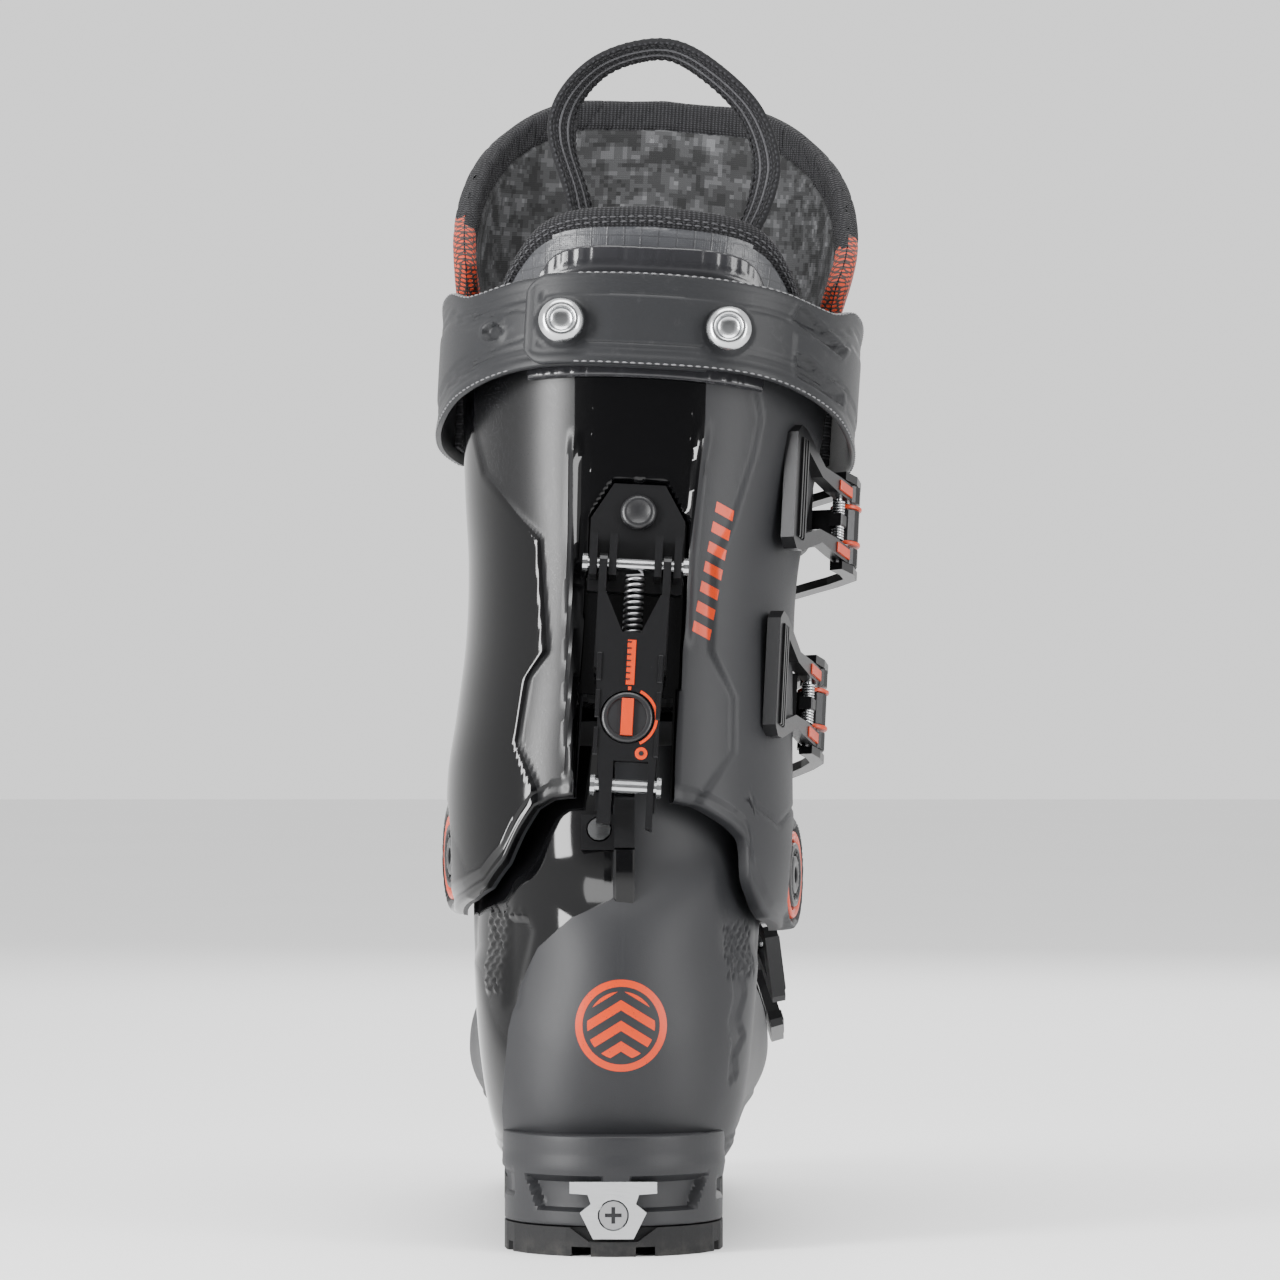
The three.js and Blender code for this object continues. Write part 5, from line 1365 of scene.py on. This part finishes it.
def build_tongue():
    rows, columns = 190, 210
    front, h = tongue_grid(0, columns, rows)
    back, _ = tongue_grid(7.5, columns, rows)
    across = np.append(np.zeros((rows, 1)), np.cumsum(np.linalg.norm(np.diff(back, axis=1), axis=2), axis=1), axis=1)
    across = across - across[:, columns // 2][:, None]
    up = np.append(np.zeros((1, columns)), np.cumsum(np.linalg.norm(np.diff(back, axis=0), axis=2), axis=0), axis=0)
    to_side = np.minimum(across - across[:, :1], across[:, -1:] - across)
    to_top = up[-1:] - up
    to_edge = np.minimum(to_side, to_top)
    normal = unit(front - back)
    drop = rounding(to_edge, 3.5)
    band = (to_edge < 11.5).astype(float)
    zig = np.abs(np.mod(np.abs(across) + up * 0.35, 9) - 4.5)
    quilt = groove(np.abs(zig - to_edge * 0.36), 0.8, 0.8) * band
    seam = groove(np.abs(to_edge - 11.8), 1.2, 1.1)
    piping = 1.1 * (1 - smoothstep(0.6, 1.7, np.abs(to_edge - 14.0))) * (to_top > 40)
    soft = 0.9 * np.sin(across / 16) * np.sin(up / 21 + 0.5) * smoothstep(14, 22, to_edge)
    relief = quilt + seam + piping + soft
    inner_face = back + normal * (drop - relief)[..., None]
    outer_face = front - normal * (drop - 0.6 * quilt - groove(np.abs(to_edge - 11.8), 1.2, 0.8))[..., None]
    points, faces, _ = closed_sheet(inner_face[:, ::-1], outer_face[:, ::-1], 1)
    uv = np.stack([across[:, ::-1].ravel(), up[:, ::-1].ravel()], -1)
    uv = np.concatenate([uv, uv])
    piece = make("tongue_body", points, faces, CAMOUFLAGE, "cuff", "liner_fabric", ["tongue"], uv=uv, sharp=70)
    for material in (KNIT, MESH_CLOTH, BLACK_PLASTIC):
        piece.data.materials.append(material)
    inside = (rows - 1) * (columns - 1)
    gap = to_edge[:, ::-1]
    side = to_side[:, ::-1]
    height = h[:, ::-1]
    gap_mid, side_mid, high_mid = cell_means(gap), cell_means(side), cell_means(height)
    material = np.zeros(len(piece.data.polygons), np.int32)
    mesh_cloth = (side_mid < 19) & (high_mid > 165) & (high_mid < 246)
    knit_band = gap_mid < 11.8
    first = np.where(knit_band & ~mesh_cloth, 1, np.where(mesh_cloth, 2, 0))
    material[:inside] = first
    second = np.where(gap_mid < 11.8, 1, np.where(high_mid < 172, 3, 1))
    second = np.where((side_mid < 26) & (high_mid > 165) & (high_mid < 250), 2, second)
    material[inside:2 * inside] = second
    material[2 * inside:] = 1
    piece.data.polygons.foreach_set("material_index", material)


build_tongue()


def pull_loop():
    route = [(-20, 193), (-25, 213), (-31, 231), (-30, 245), (-21.5, 257), (-9, 263.5), (4, 264.5),
             (17.5, 257), (29.5, 245), (35.5, 229), (33.5, 212), (25, 193)]
    path = smooth_path([leg(x, -36, h) for x, h in route], 0.9)
    centre = leg(0, -36, 226)
    tangent = unit(np.gradient(path, axis=0))
    outward = unit(np.cross(tangent, FORE))
    outward *= np.sign((outward * (path - centre)).sum(-1, keepdims=True))
    twist = np.radians(28 + 44 * np.abs(tangent @ SIDE))[:, None]
    width = outward * np.cos(twist) + BACK * np.sin(twist)
    normal = unit(np.cross(tangent, width))
    section = np.array(rounded_box_section(5.2, 1.15, 1.0, 3))
    ridge = 0.28 * np.sin(np.arange(len(path)) * 0.9 * 2 * math.pi / 2.6)
    rings = path[:, None] + section[None, :, :1] * width[:, None] + section[None, :, 1:] * normal[:, None]
    piping = (np.abs(section[:, 0]) > 3.4)
    rings = rings + (ridge[:, None] * piping[None])[..., None] * (section[None, :, 1:] > 0) * normal[:, None]
    points, faces = tube(rings[:, ::-1])
    along = np.repeat(np.arange(len(path)) * 0.9, len(section))
    uv = np.stack([along, np.tile(section[::-1, 0], len(path))], -1)
    loop = make("pull_loop_webbing", points, faces, WEBBING, "cuff", "strap_webbing", ["pull_loop"], uv=uv, sharp=60)
    centre_lines = []
    for offset in (-1.5, 1.5):
        for face in (1.25, -1.25):
            line = path + offset * width + face * normal
            centre_lines.append(sweep(line[4:-4], round_section(0.42, 6), outward[4:-4]))
    edge_stitch = []
    for offset in (-3.9, 3.9):
        for face in (1, -1):
            edge_stitch.append(stitches(path + offset * width + face * 1.2 * normal, face * normal, 1.9, 0.9, 0.3))
    points, faces = joined(centre_lines)
    make("pull_loop_cords", points, faces, THREAD_DARK, "cuff", "strap_webbing", uv=np.zeros((len(points), 2)))
    make("pull_loop_stitches", *joined(edge_stitch), BLACK_THREAD, "cuff", "strap_webbing")
    return loop


BLACK_THREAD = fleece("thread_black", (0.014, 0.014, 0.015))
THREAD_DARK = fleece("thread_dark_grey", (0.06, 0.06, 0.064))
loop = pull_loop()

rows = []
for gap in (6.9, 8.4):
    path, normal = row_path(liner_panel, gap, True)
    rows.append(stitches(path[8:-8], normal[8:-8], 2.0, 1.0, 0.3))
make("liner_stitches", *joined(rows), THREAD_DARK, "cuff", "liner_fabric")


# ------------------------------------------------------------------ inside the shell
def inner_boot():
    """The liner's foot: padded walls with a flat floor, closed at the toe."""
    places = np.concatenate([[0.92, 0.96], np.linspace(1.02, 16.9, 110)])
    d = np.linspace(0, 360, 150, endpoint=False)
    p, dd = np.meshgrid(places, d, indexing="ij")
    outer = shell_point(p, dd, WALL + 1.1)
    inner = shell_point(np.clip(p, 1.0, 16.2), dd, WALL + 1 + 6.2 + 0.35 * np.sin(np.radians(dd) * 6) * np.sin(p * 2.4))
    outer[..., 2] = np.maximum(outer[..., 2], INSIDE_FLOOR + 0.1)
    inner[..., 2] = np.maximum(inner[..., 2], INSIDE_FLOOR + 6.1)
    rows, columns = p.shape
    count = rows * columns
    faces = [*quads(rows, columns, wrap=True), *quads(rows, columns, wrap=True, first=count)[:, ::-1]]
    faces += [[count + j, count + (j + 1) % columns, (j + 1) % columns, j] for j in range(columns)]
    last = (rows - 1) * columns
    faces.append([last + j for j in range(columns)])
    faces.append([count + last + j for j in range(columns)][::-1])
    points = np.concatenate([outer.reshape(-1, 3), inner.reshape(-1, 3)])
    uv = np.tile(np.stack([dd.ravel() * 0.9, p.ravel() * 16], -1), (2, 1))
    piece = make("liner_lower", points, faces, LINING, "shell", "liner_fabric", ["liner_foot"], uv=uv, sharp=60)


def insole():
    """A thin felt bed with a rolled edge, on the liner's floor."""
    places = np.linspace(2.6, 11.6, 70)
    left, right = [], []
    for p in places:
        ring = shell_point(p, np.linspace(0, 360, 240), WALL + 1 + 6.6)
        near = ring[np.argsort(np.abs(ring[:, 2] - (INSIDE_FLOOR + 8)))[:24]]
        left.append(near[np.argmin(near[:, 0])])
        right.append(near[np.argmax(near[:, 0])])
    left, right = np.array(left), np.array(right)
    outline = np.concatenate([right[:, :2], left[::-1, :2]])
    keep = even(np.append(outline, outline[:1], axis=0), 2.0)[:-1]
    centre = keep.mean(axis=0)
    rings = []
    for share, z in ((0.975, 0), (1.0, 0.6), (1.0, 2.0), (0.985, 2.8), (0.95, 3.1), (0.7, 2.7), (0.35, 2.6)):
        flat = centre + (keep - centre) * share * 0.985
        rings.append(np.column_stack([flat, np.full(len(flat), INSIDE_FLOOR + 6.4 + z)]))
    points, faces = tube(np.array(rings))
    make("footbed_felt", points, faces, FELT, "shell", "footbed_fabric", ["footbed"], uv=points[:, :2], sharp=60)


INSIDE_FLOOR = 30.5
inner_boot()
insole()


# ------------------------------------------------------------------ cuff pivots


def ring_lathe(profile, origin, axis, sides=64):
    """A turned ring: a closed profile of (radius, height)."""
    points, _ = lathe(profile, origin, axis, sides)
    rows = len(profile)
    i, j = np.meshgrid(np.arange(rows), np.arange(sides), indexing="ij")
    a, b = i * sides, ((i + 1) % rows) * sides
    k = (j + 1) % sides
    return points, np.stack([a + j, a + k, b + k, b + j], -1).reshape(-1, 4).tolist()


for name, sign, distance in PIVOTS:
    out = pivot_out(sign)
    face = ANKLE + sign * distance * HINGE_AXIS
    ring = [(11.3, -2.3), (14.1, -2.3), (14.1, -0.7), (13.8, -0.2), (13.2, 0.1), (12.4, 0.05), (11.7, -0.4), (11.3, -0.9)]
    points, faces = ring_lathe(ring, face, out)
    make(name + "_orange_ring", points, faces, ORANGE_PLASTIC, "cuff", "pivot_orange", [name + "_ring"], sharp=40)
    cap = [(0.05, -2.3), (10.5, -2.3), (10.5, -0.3), (10.1, 0.35), (9.3, 0.55), (8.6, 0.4), (8.2, -0.5), (6.4, -0.7),
           (6.0, 0.2), (5.3, 0.45), (3.1, 0.45), (2.7, 0.2), (2.6, -1.5), (0.05, -1.5)]
    points, faces = lathe(cap, face, out, 64)
    up_cap = np.array([0, 0, 1.0])
    across = unit(np.cross(up_cap, out))
    teeth = []
    for k in range(12):
        turn = k * math.pi / 6
        x = math.cos(turn) * across + math.sin(turn) * up_cap
        y = np.cross(out, x)
        outline = [(6.7, -0.45), (8.0, -0.55), (8.0, 0.55), (6.7, 0.45)]
        teeth.append(slab(outline, face - 0.75 * out, x, y, out, 0.9, 0.15))
    points, faces = joined([(points, faces), *teeth])
    make(name + "_black_cap", points, faces, BLACK_PLASTIC, "cuff", "black_metal", [name + "_cap"], sharp=40)


# ------------------------------------------------------------------ walk mechanism
WEB_FACE = CROSS_Y - 1.8


def disc(radius, sides):
    return [(radius * math.cos(a), radius * math.sin(a)) for a in np.linspace(0, 2 * math.pi, sides, endpoint=False)]


cap = [(0.05, -0.6), (5.5, -0.6), (5.7, 0.2), (5.6, 1.0), (5.1, 1.6), (4.3, 1.9), (3.7, 1.85), (3.2, 1.5), (0.05, 1.4)]
points, faces = lathe(cap, leg(BACK_X, FLOOR_Y - 3.0, 103), BACK, 56)
make("bracket_cap", points, faces, BLACK_PLASTIC, "cuff", "black_metal", ["walk_bracket_screw"], sharp=40)

turns = np.linspace(0, 10.5, 420)
angle = turns * 2 * math.pi
coil = leg(BACK_X + 2.7 * np.cos(angle), FLOOR_Y - 6 + 2.7 * np.sin(angle), 61.5 + turns / 10.5 * 20)
tail = leg(np.array([BACK_X + 2.7, BACK_X + 2.2, BACK_X + 1.0]), np.full(3, FLOOR_Y - 6.0), np.array([82.0, 83.0, 84.0]))
points, faces = sweep(np.concatenate([coil, tail]), round_section(0.5, 8), UP)
make("walk_coil", points, faces, DULL_STEEL, "walk_lever", "steel", ["walk_spring"], sharp=60)

knob = [
    (0.05, -0.2), (8.0, -0.2), (8.1, 0.1), (8.1, 1.9), (7.8, 2.3), (7.2, 2.55), (6.5, 2.4), (6.2, 1.9),
    (3.0, 1.9), (0.05, 1.9),
]
origin = leg(BACK_X, CROSS_Y, KNOB_H)
grip = slab([(-1.9, -5.9), (1.9, -5.9), (1.9, 5.9), (-1.9, 5.9)], origin + 1.8 * BACK, SIDE, UP, BACK, 1.5, 0.3)
make("walk_knob_disc", *lathe(knob, origin, BACK, 72), BLACK_PLASTIC, "walk_knob", "black_metal", ["walk_lock_knob"], sharp=40)
make("walk_knob_bar", *grip, ORANGE_PLASTIC, "walk_knob", "pivot_orange", sharp=30)

marks = []
arc = [(9.7 * math.cos(a), 9.7 * math.sin(a)) for a in np.radians(np.linspace(66, -62, 36))]
back_arc = [(8.8 * math.cos(a), 8.8 * math.sin(a)) for a in np.radians(np.linspace(-62, 66, 36))]
face_point = leg(BACK_X, WEB_FACE, KNOB_H)
ring = np.array(arc + back_arc)
n = len(ring)
bottom = face_point - 0.2 * BACK + ring[:, :1] * SIDE + ring[:, 1:] * UP
top = bottom + 0.35 * BACK
arc_faces = [[k, (k + 1) % n, n + (k + 1) % n, n + k] for k in range(n)]
half = n // 2
arc_faces += [[n + k, n + k + 1, n + n - 2 - k, n + n - 1 - k] for k in range(half - 1)]
arc_faces += [[n - 1 - k, n - 2 - k, k + 1, k] for k in range(half - 1)]
marks.append((np.concatenate([bottom, top]), arc_faces))
stripe_at = leg(BACK_X + 0.3, WEB_FACE + 0.2, 0)
marks.append(slab([(-1.35, 44.5), (1.35, 44.5), (1.35, 59), (-1.35, 59)], stripe_at, SIDE, UP, BACK, 0.45, 0.1))
marks.append(slab([(-0.5, 42.8), (0.5, 42.8), (0.5, 43.9), (-0.5, 43.9)], stripe_at, SIDE, UP, BACK, 0.45, 0.1))
lock_at = leg(BACK_X + 5.0, WEB_FACE + 0.2, 22.6)
marks.append(slab(disc(2.0, 24), lock_at, SIDE, UP, BACK, 0.45, 0.1))
make("walk_marks", *joined(marks), ORANGE_PLASTIC, "walk_lever", "pivot_orange", sharp=30)
TICK_LIFT = 0.42 * BACK
ticks = []
for h in np.arange(46, 58.5, 2.0):
    tick = [(-1.35, h), (-0.1, h), (-0.1, h + 0.5), (-1.35, h + 0.5)]
    ticks.append(slab(tick, stripe_at + TICK_LIFT, SIDE, UP, BACK, 0.2, 0.05))
ticks.append(slab(disc(0.8, 16), lock_at + TICK_LIFT, SIDE, UP, BACK, 0.2, 0.05))
make("walk_mark_ticks", *joined(ticks), BLACK_PLASTIC, "walk_lever", "black_metal", sharp=30)

ribs = []
for sign in (-1, 1):
    for h in (26, 38, 50):
        centre = leg(BACK_X + sign * 9.6, WEB_FACE + 0.1, h)
        ribs.append(slab([(-0.7, -4.5), (0.7, -4.5), (0.7, 4.5), (-0.7, 4.5)], centre, SIDE, UP, BACK, 0.7, 0.3))
make("walk_lever_ribs", *joined(ribs), BLACK_METAL, "walk_lever", "black_metal", sharp=30)


# ------------------------------------------------------------------ buckles
def buckle_details(name, pin, tip, axis, leg_out, half):
    """Orange hinge inserts, a sprung cross barrel and finger ribs on one lever."""
    pin, tip = np.array(pin), np.array(tip)
    reach = np.linalg.norm(tip - pin)
    x = unit(tip - pin)
    y = -unit(np.array(axis))
    z = unit(np.cross(x, y))
    centre = ANKLE if name in ("upper", "lower") else np.array([0, pin[1], 50])
    outward = pin - centre
    outward = outward - (outward @ UP) * UP if name in ("upper", "lower") else outward
    if z @ outward < 0:
        z, y = -z, -y
    leg_in = leg_out - 5.5
    orange, steel_parts, black = [], [], []
    for sign in (-1, 1):
        y0, y1 = sorted((sign * (leg_in + 1.1), sign * (leg_out - 1.1)))
        insert = [(4.0, y0), (reach * 0.27, y0), (reach * 0.27, y1), (4.0, y1)]
        orange.append(slab(insert, pin + 2.85 * z, x, y, z, 0.75, 0.3))
        ring = [(2.0, 0), (5.1, 0), (5.2, 0.3), (5.2, 0.9), (4.9, 1.2), (2.0, 1.2)]
        origin = pin + y * sign * (leg_in - 2.2)
        orange.append(ring_lathe(ring, origin, y * sign, 36))
        turns = np.linspace(0, 5, 120)
        start = pin + 9 * x + 0.6 * z
        angle = turns * 2 * math.pi
        coil = start + (1.75 * np.cos(angle))[:, None] * x + (1.75 * np.sin(angle))[:, None] * z
        coil = coil + (sign * (2.2 + turns / 5 * (leg_in - 3.0)))[:, None] * y
        steel_parts.append(sweep(coil, round_section(0.42, 7), y))
    start = pin + 9 * x + 0.6 * z
    rod_profile = [(0.05, -leg_in), (1.1, -leg_in), (1.1, leg_in), (0.05, leg_in)]
    steel_parts.append(lathe(rod_profile, start, y, 18))
    black.append(slab([(-2.3, -2.1), (2.3, -2.1), (2.3, 2.1), (-2.3, 2.1)], start - 2.3 * z, x, y, z, 4.6, 0.5))
    for share in (0.845, 0.885, 0.925):
        at = reach * share
        black.append(slab([(at - 0.55, -half + 4), (at + 0.55, -half + 4), (at + 0.55, half - 4), (at - 0.55, half - 4)],
                          pin + 2.9 * z, x, y, z, 0.8, 0.3))
    body = name + "_lever"
    make(name + "_orange_inserts", *joined(orange), ORANGE_PLASTIC, body, "pivot_orange", sharp=35)
    make(name + "_springs", *joined(steel_parts), STEEL, body, "steel", sharp=60)
    make(name + "_lever_ribs", *joined(black), BLACK_METAL, body, "black_metal", sharp=35)


buckle_details("upper", (75.79, 72.15, 228.78), (55.6, 20.1, 241.9), (0.05193, 0.22465, 0.97306), 13.2, 20.5)
buckle_details("lower", (64.64, 58.62, 168.78), (49.5, 5.0, 182.0), (0.05193, 0.22465, 0.97306), 13.2, 20.5)
buckle_details("instep", (45.91, 101.66, 97.57), (52.0, 70.0, 84.3), (-0.12188, -0.40324, 0.90694), 10, 14)
buckle_details("toe", (46.20, 184.45, 85.50), (55.0, 175.4, 55.9), (-0.02557, -0.95825, 0.28480), 10, 14)


# ------------------------------------------------------------------ stage, lights and camera
def studio():
    """A pale floor, a pale world and large soft lamps."""
    bpy.ops.mesh.primitive_plane_add(size=9, location=(0, 1.2, 0))
    floor = bpy.context.active_object
    floor.name = "floor"
    s = Shade("pale_floor", ior=1.45)
    s.set(base_color=s.mix(s.noise(3, 4), (0.86, 0.86, 0.86), (0.9, 0.9, 0.9)), roughness=0.6)
    floor.data.materials.append(s.material)
    world = bpy.data.worlds.new("studio")
    world.use_nodes = True
    tree = world.node_tree
    direction = tree.nodes.new("ShaderNodeTexCoord")
    parts = tree.nodes.new("ShaderNodeSeparateXYZ")
    shade = tree.nodes.new("ShaderNodeMapRange")
    shade.interpolation_type = "SMOOTHSTEP"
    for socket, number in (("From Min", -0.95), ("From Max", -0.45), ("To Min", 0.16), ("To Max", 1.25)):
        shade.inputs[socket].default_value = number
    tree.links.new(direction.outputs["Generated"], parts.inputs[0])
    tree.links.new(parts.outputs[1], shade.inputs["Value"])
    tree.links.new(shade.outputs[0], tree.nodes["Background"].inputs[1])
    tree.nodes["Background"].inputs[0].default_value = (1, 1, 1, 1)
    bpy.context.scene.world = world
    for name, place, aim, size, power_w in (
        ("left_softbox", (-1.05, -0.75, 0.45), (0, 0.03, 0.2), (0.35, 1.1), 40),
        ("right_softbox", (1.25, -0.9, 0.5), (0, 0.03, 0.2), (0.5, 1.1), 20),
        ("top_softbox", (0.0, -0.25, 1.5), (0, 0.05, 0.15), (1.0, 0.8), 16),
        ("front_softbox", (0.2, 1.5, 0.9), (0, 0.05, 0.15), (1.0, 1.0), 12),
    ):
        lamp = bpy.data.lights.new(name, "AREA")
        lamp.shape = "RECTANGLE"
        lamp.size, lamp.size_y = size
        lamp.energy = power_w
        holder = bpy.data.objects.new(name, lamp)
        holder.location = place
        holder.rotation_euler = (Vector(aim) - Vector(place)).to_track_quat("-Z", "Y").to_euler()
        bpy.context.scene.collection.objects.link(holder)


def photo_camera():
    lens = bpy.data.cameras.new("photo")
    lens.lens = 181
    lens.sensor_width = 36
    lens.dof.use_dof = False
    camera = bpy.data.objects.new("photo", lens)
    camera.location = (0.0083, -2.045, 0.1918)
    camera.rotation_euler = (math.pi / 2, 0, 0)
    bpy.context.scene.collection.objects.link(camera)
    bpy.context.scene.camera = camera


studio()
photo_camera()
